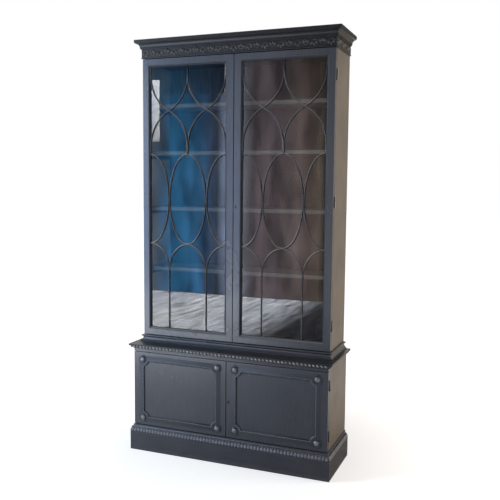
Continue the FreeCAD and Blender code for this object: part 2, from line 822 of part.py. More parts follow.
def ogee_bar(start_x, start_z, end_x, end_z, width):
    """A bar that leaves and arrives upright, in two equal arcs that turn opposite ways."""
    side = math.copysign(1, end_x - start_x)
    half_run = abs(end_x - start_x) / 2
    half_drop = (start_z - end_z) / 2
    turn = 2 * math.atan(half_run / half_drop)
    radius = half_drop / math.sin(turn)

    def upper(offset, share):
        angle = turn * share
        reach = radius + offset
        centre = start_x + side * radius
        x = centre - side * reach * math.cos(angle)
        return on_plane("glass_front", x, start_z - reach * math.sin(angle))

    def lower(offset, share):
        angle = turn * share
        reach = radius - offset
        centre = end_x - side * radius
        x = centre + side * reach * math.cos(angle)
        return on_plane("glass_front", x, end_z + reach * math.sin(angle))

    half = width / 2
    middle_share = 0.5
    edges = [
        Part.Arc(upper(half, 0), upper(half, middle_share), upper(half, 1)),
        Part.Arc(lower(half, 1), lower(half, middle_share), lower(half, 0)),
        Part.LineSegment(lower(half, 0), lower(-half, 0)),
        Part.Arc(lower(-half, 0), lower(-half, middle_share), lower(-half, 1)),
        Part.Arc(upper(-half, 1), upper(-half, middle_share), upper(-half, 0)),
        Part.LineSegment(upper(-half, 0), upper(half, 0)),
    ]
    return Part.Face(Part.Wire([edge.toShape() for edge in edges]))


def tracery_faces(left, right, width):
    """The fronts of all bars: interlaced ogees above, ovals in the middle and arches on legs below."""
    bottom, top = value("sight_bottom"), value("sight_top")
    height = top - bottom
    oval_top = bottom + height * OVAL_TOP_SHARE
    oval_bottom = bottom + height * OVAL_BOTTOM_SHARE
    spring = bottom + height * ARCH_SPRING_SHARE
    middle = (left + right) / 2
    quarter = (right - left) / 4
    shift = value("bar_width") * PAIR_SHIFT_SHARE
    leg = height * OGEE_LEG_SHARE
    ogees = [(left, middle - shift), (middle, left), (middle, right), (right, middle + shift)]
    faces = []
    for start_x, end_x in ogees:
        faces.append(ogee_bar(start_x, top - leg, end_x, oval_top + leg, width))
        faces.append(upright_bar(start_x, top - leg, top, width))
        faces.append(upright_bar(end_x, oval_top, oval_top + leg, width))
    above_spring = rectangle_face("glass_front", left - quarter, right + quarter, spring, top)
    oval_middle = (oval_top + oval_bottom) / 2
    for x in (left, middle, right):
        faces.append(oval_bar(x, oval_middle, quarter - shift, oval_top - oval_middle, width))
        arch = oval_bar(x, spring, quarter, oval_bottom - spring - shift, width)
        faces.append(arch.common(above_spring))
    for x in (left + quarter, right - quarter):
        faces.append(upright_bar(x, bottom, spring, width))
    return faces


def tracery(side):
    """One lattice of bars, cut to the sight opening of a door."""
    left, right = (value(text) for text in sided(side, "sight_inner", "sight_outer"))
    forward = FreeCAD.Vector(0, -value("bar_depth"), 0)
    window = rectangle_face("glass_front", left, right, value("sight_bottom"), value("sight_top"))
    bars = [face.extrude(forward) for face in tracery_faces(left, right, value("bar_width"))]
    lattice = bars[0].multiFuse(bars[1:]).common(window.extrude(forward))
    piece = doc.addObject("Part::Feature", "upper_%s_tracery" % side)
    piece.Shape = lattice.removeSplitter()
    return piece


# Panels of the cupboard doors


def door_panel(side):
    """A flush panel between the stiles and rails."""
    width = sided(side, "panel_inner", "panel_outer")
    depth = ("base_face", "base_face + panel_thickness")
    return board("lower_%s_panel" % side, width, depth, ("panel_bottom", "panel_top"))


def hollow_corner_face(side, inset, hollow):
    """The panel's outline drawn in by an inset, with a quarter of a disc taken out of each corner."""
    left, right = (value(text) for text in sided(side, "panel_inner", "panel_outer"))
    bottom, top = value("panel_bottom"), value("panel_top")
    face = rectangle_face("base_face", left + inset, right - inset, bottom + inset, top - inset)
    for x in (left, right):
        for z in (bottom, top):
            face = face.cut(disc_face("base_face", x, z, hollow))
    return face


def panel_moulding(side):
    """A planted moulding over the panel's joint, with a hollow round each rosette."""
    hollow = value("corner_hollow_radius")
    half = value("panel_moulding_width / 2")
    outer = hollow_corner_face(side, -half, hollow - half)
    ring = outer.cut(hollow_corner_face(side, half, hollow + half))
    piece = doc.addObject("Part::Feature", "lower_%s_panel_moulding" % side)
    piece.Shape = ring.extrude(FreeCAD.Vector(0, -value("panel_moulding_depth"), 0))
    return piece


def rosette_ring(x, z, out_share, up_share):
    """The corners of one ring of a rosette."""
    radius = value("rosette_radius") * out_share
    depth = value("base_face - rosette_height * %s" % up_share)
    corners = []
    for number in range(ROSETTE_FACETS):
        angle = 2 * math.pi * number / ROSETTE_FACETS
        corners.append(FreeCAD.Vector(x + radius * math.cos(angle), depth, z + radius * math.sin(angle)))
    return corners


def rosette(name, x, z):
    """A carved boss whose facets step in from ring to ring."""
    rings = [rosette_ring(value(x), value(z), *shares) for shares in ROSETTE_SHARES]
    outlines = [rings[0], rings[-1]]
    for outer, inner in zip(rings, rings[1:]):
        for number in range(ROSETTE_FACETS):
            outlines.append([outer[number - 1], outer[number], inner[number], inner[number - 1]])
    faces = [Part.Face(Part.makePolygon(outline + outline[:1])) for outline in outlines]
    piece = doc.addObject("Part::Feature", name)
    piece.Shape = Part.Solid(Part.Shell(faces))
    return piece


def rosettes(side):
    """A rosette on each corner of the panel."""
    name = "lower_%s_rosettes" % side
    pieces = []
    for x in sided(side, "panel_inner", "panel_outer"):
        for z in ("panel_bottom", "panel_top"):
            pieces.append(rosette("%s_%d" % (name, len(pieces)), x, z))
    return group(name, pieces)


# Locks and bolts


def lock_case(case):
    """A lock let into the back of the right door's meeting stile, open where its bolt slides."""
    back = CASES[case]["door_back"]
    name = case + "_lock"
    width = ("meeting_edge", "meeting_edge + lock_width")
    blank = board(name + "_blank", width, (back + " - lock_depth", back), lock_span(case, "lock_height"))
    path = ("meeting_edge - cut_overrun", "meeting_edge + lock_bolt_length + slide_clearance")
    return cut(name, blank, [bolt_slot(name + "_slot", case, path, "slide_clearance")])


def lock_bolt(case):
    """The bolt of a lock, drawn back flush with the edge of the door."""
    return bolt_slot(case + "_lock_bolt", case, ("meeting_edge", "meeting_edge + lock_bolt_length"), "0")


def bolt_plate(case):
    """A plate on the back of the left door with two guides for its bolt."""
    parts = CASES[case]
    name = case + "_door_bolt_plate"
    x = bolt_axis(case)[0]
    bottom = parts["door_bottom"] + " + bolt_plate_lift"
    top = bottom + " + bolt_plate_height"
    front = parts["door_back"] + " + bolt_plate_thickness"
    width = (x + " - bolt_plate_width / 2", x + " + bolt_plate_width / 2")
    guide_width = (x + " - bolt_guide_width / 2", x + " + bolt_guide_width / 2")
    guide_depth = (front, front + " + bolt_guide_depth")
    solids = [
        board(name + "_sheet", width, (parts["door_back"], front), (bottom, top)),
        board(name + "_low_guide", guide_width, guide_depth, (bottom, bottom + " + bolt_guide_height")),
        board(name + "_high_guide", guide_width, guide_depth, (top + " - bolt_guide_height", top)),
    ]
    path_span = (bottom + " - cut_overrun", top + " + cut_overrun")
    path = bolt_room(name + "_path", case, "slide_clearance", path_span)
    return cut(name, join(name + "_solid", solids), [path])


def door_bolt(case):
    """A square bolt, drawn up level with the door's bottom edge, with a knob between the guides."""
    parts = CASES[case]
    name = case + "_door_bolt"
    x, y = bolt_axis(case)
    bottom = parts["door_bottom"]
    top = bottom + " + bolt_plate_lift + bolt_plate_height + door_bolt_throw"
    shaft = bolt_room(name + "_shaft", case, "0", (bottom, top))
    under_guide = bottom + " + bolt_plate_lift + bolt_plate_height - bolt_guide_height"
    knob_place = (x, y, under_guide + " - 2 * bolt_knob_radius")
    knob = rod(name + "_knob", "y", knob_place, "bolt_knob_reach", "bolt_knob_radius")
    return join(name, [shaft, knob])


# The whole piece, one node to a line


def base_nodes():
    """The cupboard without its doors."""
    return [
        plinth_frame(),
        moulding_round_case(
            "plinth_moulding", PLINTH_SHARES, "plinth_projection", "plinth_moulding_height",
            "base_half", "base_face", "plinth_height",
        ),
        case_side("lower", "left", "base_side_left"),
        case_side("lower", "right", "base_side_right"),
        floor_board("lower", "base_bottom"),
        front_rail("lower", "base_bottom_rail", "plinth_height", "plinth_moulding_top"),
        front_rail("lower", "base_top_rail", "base_rail_bottom", "ledge_bottom"),
        back_boards("lower", "base_back", "plinth_height", "ledge_bottom"),
        shelf("lower", "base_shelf", "base_shelf_level"),
        board(
            "ledge_board", across("base_half + ledge_projection"),
            ("base_face - ledge_projection", "back_plane"), ("ledge_bottom", "ledge_top"),
        ),
        moulding_round_case(
            "ledge_moulding", LEDGE_SHARES, "ledge_moulding_projection", "ledge_moulding_height",
            "base_half", "base_face", "ledge_moulding_bottom",
        ),
        bead_strip(),
    ]


def upper_nodes():
    """The upper case without its doors."""
    shelves = [
        shelf("upper", "shelf_%d" % number, level)
        for number, level in enumerate(CASES["upper"]["shelf_levels"], start=1)
    ]
    return shelves + [
        case_side("upper", "left", "upper_side_left"),
        case_side("upper", "right", "upper_side_right"),
        floor_board("upper", "upper_bottom"),
        board(
            "upper_top", across("upper_inside"), ("upper_edge", "back_inside"),
            ("upper_ceiling", "frieze_bottom"),
        ),
        back_boards("upper", "upper_back", "ledge_top", "frieze_bottom"),
        front_rail("upper", "upper_foot_rail", "ledge_top", "waist_top"),
        front_rail("upper", "upper_head_rail", "frieze_bottom", "side_top"),
        moulding_round_case(
            "waist_moulding", WAIST_SHARES, "waist_projection", "waist_moulding_height",
            "upper_half", "upper_face", "ledge_top",
        ),
        moulding_round_case(
            "frieze", FRIEZE_SHARES, "frieze_projection", "frieze_height",
            "upper_half", "upper_face", "frieze_bottom",
        ),
        moulding_round_case(
            "cornice", CORNICE_SHARES, "cornice_projection", "cornice_height",
            "upper_half", "upper_face", "cornice_bottom",
        ),
    ]


def door_nodes():
    """All four doors with what is fixed to them."""
    pieces = []
    for side in SIDES:
        pieces += [door_frame("upper", side), glass_moulding(side), glass_pane(side)]
        pieces += [tracery(side), glazing_beads(side)]
        pieces += [door_frame("lower", side), door_panel(side), panel_moulding(side), rosettes(side)]
        pieces += [door_leaf_group("upper", side), door_leaf_group("lower", side)]
    for case in CASES:
        pieces += [lock_case(case), lock_bolt(case), bolt_plate(case), door_bolt(case)]
    return pieces


nodes = base_nodes() + upper_nodes() + [shelf_bearers(), case_leaf_group()] + door_nodes()
doc.recompute()

# Nothing is written unless every object is sound
for item in doc.Objects:
    if "Invalid" in item.State or "Error" in item.State:
        raise ValueError("%s failed: %s" % (item.Name, item.State))
for piece in nodes:
    if piece.Shape.isNull() or not piece.Shape.isValid() or not piece.Shape.Solids:
        raise ValueError("%s has no sound solid" % piece.Label)

os.makedirs("parts", exist_ok=True)
for piece in nodes:
    piece.Shape.exportStep("parts/%s.step" % piece.Label)
    print("%-28s %3d solids %14.1f mm3" % (piece.Label, len(piece.Shape.Solids), piece.Shape.Volume))
print("%d nodes" % len(nodes))
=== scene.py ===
# %% [markdown]
# # A painted bookcase with astragal-glazed doors
# This lesson dresses a finished model of a tall bookcase. The model arrives as separate named pieces
# that are already in place, in metres, with the floor at zero and the doors facing -Y. We give each
# piece its finish and add the carving that a joiner would cut or plant on last: the vine of the
# frieze, the beads of the ledge, leaves, rosettes and glazing bars.

# %% Load the bookcase
import math
import bpy
from mathutils import Matrix, Vector


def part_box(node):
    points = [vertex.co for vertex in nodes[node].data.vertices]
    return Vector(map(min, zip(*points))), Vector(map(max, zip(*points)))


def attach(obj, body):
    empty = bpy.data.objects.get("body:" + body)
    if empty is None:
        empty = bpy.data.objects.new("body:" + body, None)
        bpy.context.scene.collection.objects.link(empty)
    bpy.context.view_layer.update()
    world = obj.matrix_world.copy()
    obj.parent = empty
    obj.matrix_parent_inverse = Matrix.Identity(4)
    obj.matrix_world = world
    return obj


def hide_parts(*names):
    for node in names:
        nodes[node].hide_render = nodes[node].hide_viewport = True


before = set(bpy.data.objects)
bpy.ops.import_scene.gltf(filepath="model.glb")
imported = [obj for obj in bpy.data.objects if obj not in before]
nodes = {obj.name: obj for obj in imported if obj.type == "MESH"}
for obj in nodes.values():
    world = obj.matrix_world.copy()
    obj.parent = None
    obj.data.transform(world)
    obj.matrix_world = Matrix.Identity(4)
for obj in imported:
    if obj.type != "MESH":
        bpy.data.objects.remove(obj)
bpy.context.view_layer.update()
scene = bpy.context.scene
print("pieces loaded:", len(nodes))

# %% [markdown]
# Sizes of carving are easiest to think of in millimetres, as on a workshop drawing. One factor turns
# them into metres. The places come from the pieces themselves, so nothing has to be fitted by eye.

# %% Workshop units
MM = 0.001
UP = Vector((0, 0, 1))
RIGHT = Vector((1, 0, 0))
FRONT = Vector((0, -1, 0))


def in_metres(section):
    """A section drawn in millimetres, as (across, out) pairs."""
    return [(across * MM, out * MM) for across, out in section]


# %% [markdown]
# A carved ornament is one small form repeated many times. It could be an object with many copies, but
# a run of carving is one piece to the joiner. So the forms are gathered in a store of points and
# faces and become one mesh. Each point also notes its crest, from 0 in a hollow to 1 on the highest
# ridge, because paint wears on ridges; the paint also lightens them as a painted highlight and
# darkens hollows as painted shade.

# %% Gather small forms
def new_store():
    """An empty store of points, their crests and the faces between them."""
    return {"points": [], "crests": [], "faces": []}


def add_points(store, pairs):
    """Add points that come with their crest, and give the number of the first."""
    start = len(store["points"])
    for place, crest in pairs:
        store["points"].append(tuple(place))
        store["crests"].append(crest)
    return start


def add_grid(store, rows, wrap_across=False, wrap_along=False):
    """Add a net of points, given row by row, with a face between neighbours."""
    count, width = len(rows), len(rows[0])
    start = add_points(store, [pair for row in rows for pair in row])
    for r in range(count if wrap_along else count - 1):
        here = start + r * width
        ahead = start + (r + 1) % count * width
        for c in range(width if wrap_across else width - 1):
            beside = (c + 1) % width
            store["faces"].append((here + c, here + beside, ahead + beside, ahead + c))


def add_cap(store, ring):
    """Close one end with a flat face."""
    start = add_points(store, ring)
    store["faces"].append(tuple(range(start, start + len(ring))))


print("store ready:", sorted(new_store()))

# %% Turn a store into a piece
def make_piece(name, store, body, material):
    """A smooth mesh that rides on a body and keeps its crests for the paint."""
    mesh = bpy.data.meshes.new(name)
    mesh.from_pydata(store["points"], [], store["faces"])
    crest = mesh.attributes.new("crest", "FLOAT", "POINT")
    crest.data.foreach_set("value", store["crests"])
    mesh.validate()
    mesh.shade_smooth()
    piece = bpy.data.objects.new(name, mesh)
    scene.collection.objects.link(piece)
    piece.data.materials.append(material)
    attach(piece, body)
    print(name, "has", len(mesh.polygons), "faces and rides on", body)
    return piece


# %% [markdown]
# ## The paint
# The whole piece is brush-painted in a satin charcoal. Real brush paint is never one flat colour: it
# has long faint streaks, soft cloudy patches and rubbed edges. Darker lines in the quirks are added
# as painted shade, and the rubbed edges are lighter partly as wear and partly as a painted highlight.
# A picture of paint would do, but nodes fit every piece without unwrapping it. Each trait comes from
# its own node: stretched noise for streaks, coarse noise for clouds, ambient occlusion for the
# painted shade in the quirks, and for the edges a bevel's normal compared with the true one.

# %% Node helpers
def blank_material(name):
    """A material with only a principled shader and its output."""
    material = bpy.data.materials.new(name)
    material.use_nodes = True
    tree = material.node_tree
    return material, tree, tree.nodes["Principled BSDF"]


def add_node(tree, kind, **settings):
    """Add a node and set its inputs by name."""
    new = tree.nodes.new(kind)
    for key, setting in settings.items():
        new.inputs[key].default_value = setting
    return new


def stretched_noise(tree, stretch, scale, detail):
    """Noise in the piece's own place, drawn out along one axis."""
    place = tree.nodes.new("ShaderNodeTexCoord")
    mapping = add_node(tree, "ShaderNodeMapping", Scale=stretch)
    noise = add_node(tree, "ShaderNodeTexNoise", Scale=scale, Detail=detail)
    tree.links.new(place.outputs["Object"], mapping.inputs["Vector"])
    tree.links.new(mapping.outputs["Vector"], noise.inputs["Vector"])
    return noise.outputs["Fac"]


def ramp(tree, source, low, high, low_value, high_value):
    """Spread a value between two limits onto two others."""
    spread = tree.nodes.new("ShaderNodeMapRange")
    settings = {"From Min": low, "From Max": high, "To Min": low_value, "To Max": high_value}
    for key, setting in settings.items():
        spread.inputs[key].default_value = setting
    tree.links.new(source, spread.inputs["Value"])
    return spread.outputs["Result"]


def times(tree, first, second):
    """The product of two values."""
    product = tree.nodes.new("ShaderNodeMath")
    product.operation = "MULTIPLY"
    tree.links.new(first, product.inputs[0])
    tree.links.new(second, product.inputs[1])
    return product.outputs[0]


print("node helpers ready")

# %% Blend colours and add bumps
def blend_colours(tree, factor, first, second):
    """Mix two colours, each a colour or the output of a node."""
    mix = tree.nodes.new("ShaderNodeMix")
    mix.data_type = "RGBA"
    tree.links.new(factor, mix.inputs["Factor"])
    for socket, colour in ((mix.inputs[6], first), (mix.inputs[7], second)):
        if isinstance(colour, tuple):
            socket.default_value = (*colour, 1)
        else:
            tree.links.new(colour, socket)
    return mix.outputs[2]


def bump_surface(tree, shader, height, strength, depth, socket="Normal"):
    """Raise a surface by a height that varies over it."""
    bump = add_node(tree, "ShaderNodeBump", Strength=strength, Distance=depth)
    tree.links.new(height, bump.inputs["Height"])
    tree.links.new(bump.outputs["Normal"], shader.inputs[socket])


print("colour and bump helpers ready")

# %% [markdown]
# Wear and painted light need to know where the edges and the corners are. A bevel node smooths the
# normal near an edge, so where it differs from the true normal there is an edge, which is lightened
# as wear and as a painted highlight. Ambient occlusion is low in a corner, which is darkened as
# painted shade. The direction of a face decides where a dusty tone and painted top light go, and
# where undersides are darkened as painted shade. A spread, here and below, holds two limits of a
# value and the two amounts that they stand for.

# %% Find edges, quirks and upper faces
EDGE_REACH = 1.8 * MM
FLAT_MATCH, EDGE_MATCH = 0.98, 0.82
QUIRK_REACH = 12 * MM
QUIRK_SAMPLES = 4
# Painted shade: quirks, corners and undersides are darkened towards this colour.
QUIRK_SHADE = (0.010, 0.010, 0.012)
QUIRK_SPREAD = (0.3, 0.88, 0.92, 0)
LOOKING_DOWN = -0.4
# A dusty tone and painted top light go on faces that look up; painted shade goes on faces that look down.
DUST_AND_TOP_LIGHT = (0.60, 0.56, 0.50)
DUST_AND_LIGHT_START, DUST_AND_LIGHT_FULL = 0.08, 0.5


def rubbed_and_highlit_edges(tree):
    """One on an outer edge, which is lightened as wear and as a painted highlight, nought on flat faces.
    """
    bevel = add_node(tree, "ShaderNodeBevel", Radius=EDGE_REACH)
    geometry = tree.nodes.new("ShaderNodeNewGeometry")
    dot = tree.nodes.new("ShaderNodeVectorMath")
    dot.operation = "DOT_PRODUCT"
    tree.links.new(bevel.outputs["Normal"], dot.inputs[0])
    tree.links.new(geometry.outputs["Normal"], dot.inputs[1])
    return ramp(tree, dot.outputs["Value"], FLAT_MATCH, EDGE_MATCH, 0, 1)


def shade_quirks(tree, tone):
    """Darken the corners and quirks, as painted shade."""
    quirk = add_node(tree, "ShaderNodeAmbientOcclusion", Distance=QUIRK_REACH)
    quirk.samples = QUIRK_SAMPLES
    return blend_colours(tree, ramp(tree, quirk.outputs["AO"], *QUIRK_SPREAD), tone, QUIRK_SHADE)


def dust_and_painted_light_by_facing(tree, tone, dust_and_shading):
    """Lighten the faces that look up, as a dusty tone and painted top light, and darken those that look
    down, as painted shade.
    """
    place = tree.nodes.new("ShaderNodeTexCoord")
    split = tree.nodes.new("ShaderNodeSeparateXYZ")
    tree.links.new(place.outputs["Normal"], split.inputs["Vector"])
    below = ramp(tree, split.outputs["Z"], LOOKING_DOWN, 0, dust_and_shading, 0)
    tone = blend_colours(tree, below, tone, QUIRK_SHADE)
    above = ramp(tree, split.outputs["Z"], DUST_AND_LIGHT_START, DUST_AND_LIGHT_FULL, 0, dust_and_shading)
    return blend_colours(tree, above, tone, DUST_AND_TOP_LIGHT)


print("edges within", EDGE_REACH / MM, "mm, quirks within", QUIRK_REACH / MM, "mm")

# %% [markdown]
# One function mixes every brushed paint on the bookcase. The colours, the direction of the brush and
# the amount of wear are all it needs. The sides, brushed along vertical strokes, have their own
# lighter and warmer mix, which paints in the warm light that they catch. The mouldings round the
# glass are duller, so that they do not shine beside the panes, and by the way they face they take a
# little dusty tone and painted top light above and painted shade below.

# %% A brushed paint
ACROSS_STROKES, ALONG_STROKES = 42, 1.4
UPRIGHT = (ACROSS_STROKES, ACROSS_STROKES, ALONG_STROKES)
LEVEL = (ALONG_STROKES, ACROSS_STROKES, ACROSS_STROKES)
EVEN = (1, 1, 1)
STROKE_SCALE, STROKE_DETAIL = 6, 6
STROKE_SPREAD = (0.35, 0.72, 0, 0.85)
STROKE_BUMP, STROKE_DEPTH = 0.2, 0.3 * MM
CLOUD_SCALE, CLOUD_DETAIL = 5, 4
CLOUD_SPREAD = (0.4, 0.75, 0, 0.5)
CLOUD_DARKENING = 0.66
PATCH_SCALE, PATCH_DETAIL = 42, 5
PATCH_START, PATCH_FULL = 0.4, 0.62
SMOOTH_CLOUD, ROUGH_CLOUD = 0.3, 0.7
SMOOTHER, ROUGHER = 0.03, 0.04


def brushed_paint(name, colour, streak_colour, worn_colour, brush, wear, roughness, gloss=0.5, dust_and_shading=0):
    """Satin paint with strokes, clouds, painted shade in the quirks, and edges lightened as wear and as a
    painted highlight; and a dusty tone with painted light by facing, if asked.
    """
    material, tree, shader = blank_material(name)
    strokes = stretched_noise(tree, brush, STROKE_SCALE, STROKE_DETAIL)
    clouds = stretched_noise(tree, EVEN, CLOUD_SCALE, CLOUD_DETAIL)
    patches = stretched_noise(tree, EVEN, PATCH_SCALE, PATCH_DETAIL)
    tone = blend_colours(tree, ramp(tree, strokes, *STROKE_SPREAD), colour, streak_colour)
    deep = tuple(channel * CLOUD_DARKENING for channel in colour)
    tone = blend_colours(tree, ramp(tree, clouds, *CLOUD_SPREAD), tone, deep)
    tone = shade_quirks(tree, tone)
    worn_and_highlit = times(tree, rubbed_and_highlit_edges(tree), ramp(tree, patches, PATCH_START, PATCH_FULL, 0, wear))
    tone = blend_colours(tree, worn_and_highlit, tone, worn_colour)
    if dust_and_shading:
        tone = dust_and_painted_light_by_facing(tree, tone, dust_and_shading)
    tree.links.new(tone, shader.inputs["Base Color"])
    satin = ramp(tree, clouds, SMOOTH_CLOUD, ROUGH_CLOUD, roughness - SMOOTHER, roughness + ROUGHER)
    tree.links.new(satin, shader.inputs["Roughness"])
    shader.inputs["Specular IOR Level"].default_value = gloss
    bump_surface(tree, shader, strokes, STROKE_BUMP, STROKE_DEPTH)
    return material


print("strokes are", round(ACROSS_STROKES / ALONG_STROKES), "times as long as wide")

# %% Name the colours and mix the paints
CHARCOAL = (0.070, 0.077, 0.092)
CHARCOAL_STROKE = (0.094, 0.102, 0.120)
# Edges are lightened towards this colour, as wear and as a painted highlight.
RUBBED_AND_HIGHLIGHT = (0.21, 0.215, 0.235)
# The sides' mix is lighter and warmer than the charcoal: it paints in the warm light on the sides.
WARM_LIT_TAUPE = (0.128, 0.108, 0.088)
WARM_LIT_TAUPE_STROKE = (0.205, 0.178, 0.150)
WORN_DARK = (0.030, 0.025, 0.021)
# The inner paint is darker than paint would be, to stand for the shade inside the glazed case too.
SHADED_INNER = (0.014, 0.014, 0.015)
SHADED_INNER_STROKE = (0.024, 0.023, 0.025)
# The shelves are lighter than the inner paint, to paint in the light on their front edges.
LIT_SHELF = (0.056, 0.057, 0.060)
LIT_SHELF_STROKE = (0.080, 0.081, 0.085)
CORNICE = (0.026, 0.026, 0.028)
CORNICE_STROKE = (0.040, 0.041, 0.044)
PLINTH = (0.068, 0.071, 0.084)
PLINTH_STROKE = (0.090, 0.094, 0.110)
INNER_FINISH = {"wear": 0.5, "roughness": 0.65, "gloss": 0.1}
door_paint = brushed_paint(
    "door_paint", CHARCOAL, CHARCOAL_STROKE, RUBBED_AND_HIGHLIGHT, UPRIGHT, wear=0.35, roughness=0.25
)
rail_paint = brushed_paint(
    "rail_paint", CHARCOAL, CHARCOAL_STROKE, RUBBED_AND_HIGHLIGHT, LEVEL, wear=0.4, roughness=0.25
)
glazing_paint = brushed_paint(
    "glazing_paint", CHARCOAL, CHARCOAL_STROKE, RUBBED_AND_HIGHLIGHT, UPRIGHT,
    wear=0.1, roughness=0.5, gloss=0.15, dust_and_shading=0.3,
)
warm_lit_side_paint = brushed_paint(
    "warm_lit_side_paint", WARM_LIT_TAUPE, WARM_LIT_TAUPE_STROKE, WORN_DARK, UPRIGHT, wear=0.8, roughness=0.44
)
cornice_paint = brushed_paint(
    "cornice_paint", CORNICE, CORNICE_STROKE, RUBBED_AND_HIGHLIGHT, LEVEL, wear=0.4, roughness=0.34, gloss=0.25
)
plinth_paint = brushed_paint(
    "plinth_paint", PLINTH, PLINTH_STROKE, RUBBED_AND_HIGHLIGHT, LEVEL, wear=0.7, roughness=0.36, gloss=0.3
)
inner_paint = brushed_paint("inner_paint", SHADED_INNER, SHADED_INNER_STROKE, RUBBED_AND_HIGHLIGHT, LEVEL, **INNER_FINISH)
shelf_paint = brushed_paint(
    "shelf_paint", LIT_SHELF, LIT_SHELF_STROKE, RUBBED_AND_HIGHLIGHT, LEVEL, wear=0.8, roughness=0.5, gloss=0.2
)
print("eight brushed paints mixed")

# %% [markdown]
# The back of such a case is never seen, so it was left as bare boards, browned with age. The same
# boards are painted where they face the shelves. One material does both: the direction of a face says
# which side it is on. A wave texture draws the joints. At a scale of one it runs through twenty
# radians in a metre, so the width of a board gives the scale.

# %% Mix a paint with bare boards behind
BOARD = (0.150, 0.095, 0.055)
BOARD_GRAIN = (0.075, 0.045, 0.026)
JOINT_DARK = (0.012, 0.009, 0.007)
BOARD_WIDTH = 140 * MM
GRAIN_STRETCH = (60, 60, 1.2)
GRAIN_SCALE, GRAIN_DETAIL = 3, 6
GRAIN_SPREAD = (0.35, 0.68, 0, 1)
WAVE_RADIANS = 20
JOINT_SPREAD = (0.015, 0.03, 1, 0)
LOOKING_BACK = (0.4, 0.6, 0, 1)


def bare_boards(tree):
    """The colour of upright pine boards with dark joints between them."""
    grain = stretched_noise(tree, GRAIN_STRETCH, GRAIN_SCALE, GRAIN_DETAIL)
    wood = blend_colours(tree, ramp(tree, grain, *GRAIN_SPREAD), BOARD, BOARD_GRAIN)
    joints = add_node(tree, "ShaderNodeTexWave", Scale=2 * math.pi / WAVE_RADIANS / BOARD_WIDTH)
    joints.wave_profile = "SAW"
    place = tree.nodes.new("ShaderNodeTexCoord")
    tree.links.new(place.outputs["Object"], joints.inputs["Vector"])
    return blend_colours(tree, ramp(tree, joints.outputs["Fac"], *JOINT_SPREAD), wood, JOINT_DARK)


def paint_with_bare_back(name):
    """Inner paint on the faces that look forward, and bare boards on those that look back."""
    material = brushed_paint(name, SHADED_INNER, SHADED_INNER_STROKE, RUBBED_AND_HIGHLIGHT, LEVEL, **INNER_FINISH)
    tree = material.node_tree
    colour_socket = tree.nodes["Principled BSDF"].inputs["Base Color"]
    painted = colour_socket.links[0].from_socket
    place = tree.nodes.new("ShaderNodeTexCoord")
    split = tree.nodes.new("ShaderNodeSeparateXYZ")
    tree.links.new(place.outputs["Normal"], split.inputs["Vector"])
    behind = ramp(tree, split.outputs["Y"], *LOOKING_BACK)
    tree.links.new(blend_colours(tree, behind, painted, bare_boards(tree)), colour_socket)
    return material


back_finish = paint_with_bare_back("painted_back_boards")
print("back boards", round(BOARD_WIDTH / MM), "mm wide")

# %% [markdown]
# Carving is painted the same charcoal, but hands and dusters rub its ridges lighter and glossier, and
# the ridges are lightened further as a painted highlight, while the hollows are darkened as painted
# shade. The crest that each carved point keeps says how high it stands, so the paint reads that
# instead of guessing from the shape. The glazing bars are darker; their upper faces take a dusty tone
# and painted top light, and their undersides painted shade.

# %% A paint for carving
RUB_SCALE, RUB_DETAIL = 70, 4
RUB_SPREAD = (0.36, 0.6, 0.3, 1)
SPECK_SCALE, SPECK_DETAIL = 260, 3
SPECK_BUMP, SPECK_DEPTH = 0.15, 0.2 * MM
FACE_SPREAD = (0.05, 0.55, 0, 1)
CREST_SPREAD = (0.55, 0.95, 0, 1)
DULL_CREST, SHINY_CREST = 0.2, 0.9
HOLLOW_DULLER = 0.16


def carved_paint(name, hollow_shade_colour, colour, crest_highlight_colour, roughness, gloss=0.5, dust_and_shading=0):
    """Paint darkened in the hollows as painted shade, and lightened on the crests as rubbed wear and a
    painted highlight.
    """
    material, tree, shader = blank_material(name)
    crest = tree.nodes.new("ShaderNodeAttribute")
    crest.attribute_name = "crest"
    height = crest.outputs["Fac"]
    patches = stretched_noise(tree, EVEN, RUB_SCALE, RUB_DETAIL)
    specks = stretched_noise(tree, EVEN, SPECK_SCALE, SPECK_DETAIL)
    tone = blend_colours(tree, ramp(tree, height, *FACE_SPREAD), hollow_shade_colour, colour)
    rubbed = times(tree, ramp(tree, height, *CREST_SPREAD), ramp(tree, patches, *RUB_SPREAD))
    tone = blend_colours(tree, rubbed, tone, crest_highlight_colour)
    if dust_and_shading:
        tone = dust_and_painted_light_by_facing(tree, tone, dust_and_shading)
    tree.links.new(shade_quirks(tree, tone), shader.inputs["Base Color"])
    dull = ramp(tree, height, DULL_CREST, SHINY_CREST, roughness + HOLLOW_DULLER, roughness)
    tree.links.new(dull, shader.inputs["Roughness"])
    shader.inputs["Specular IOR Level"].default_value = gloss
    bump_surface(tree, shader, specks, SPECK_BUMP, SPECK_DEPTH)
    return material


print("crests are rubbed above", CREST_SPREAD[0])

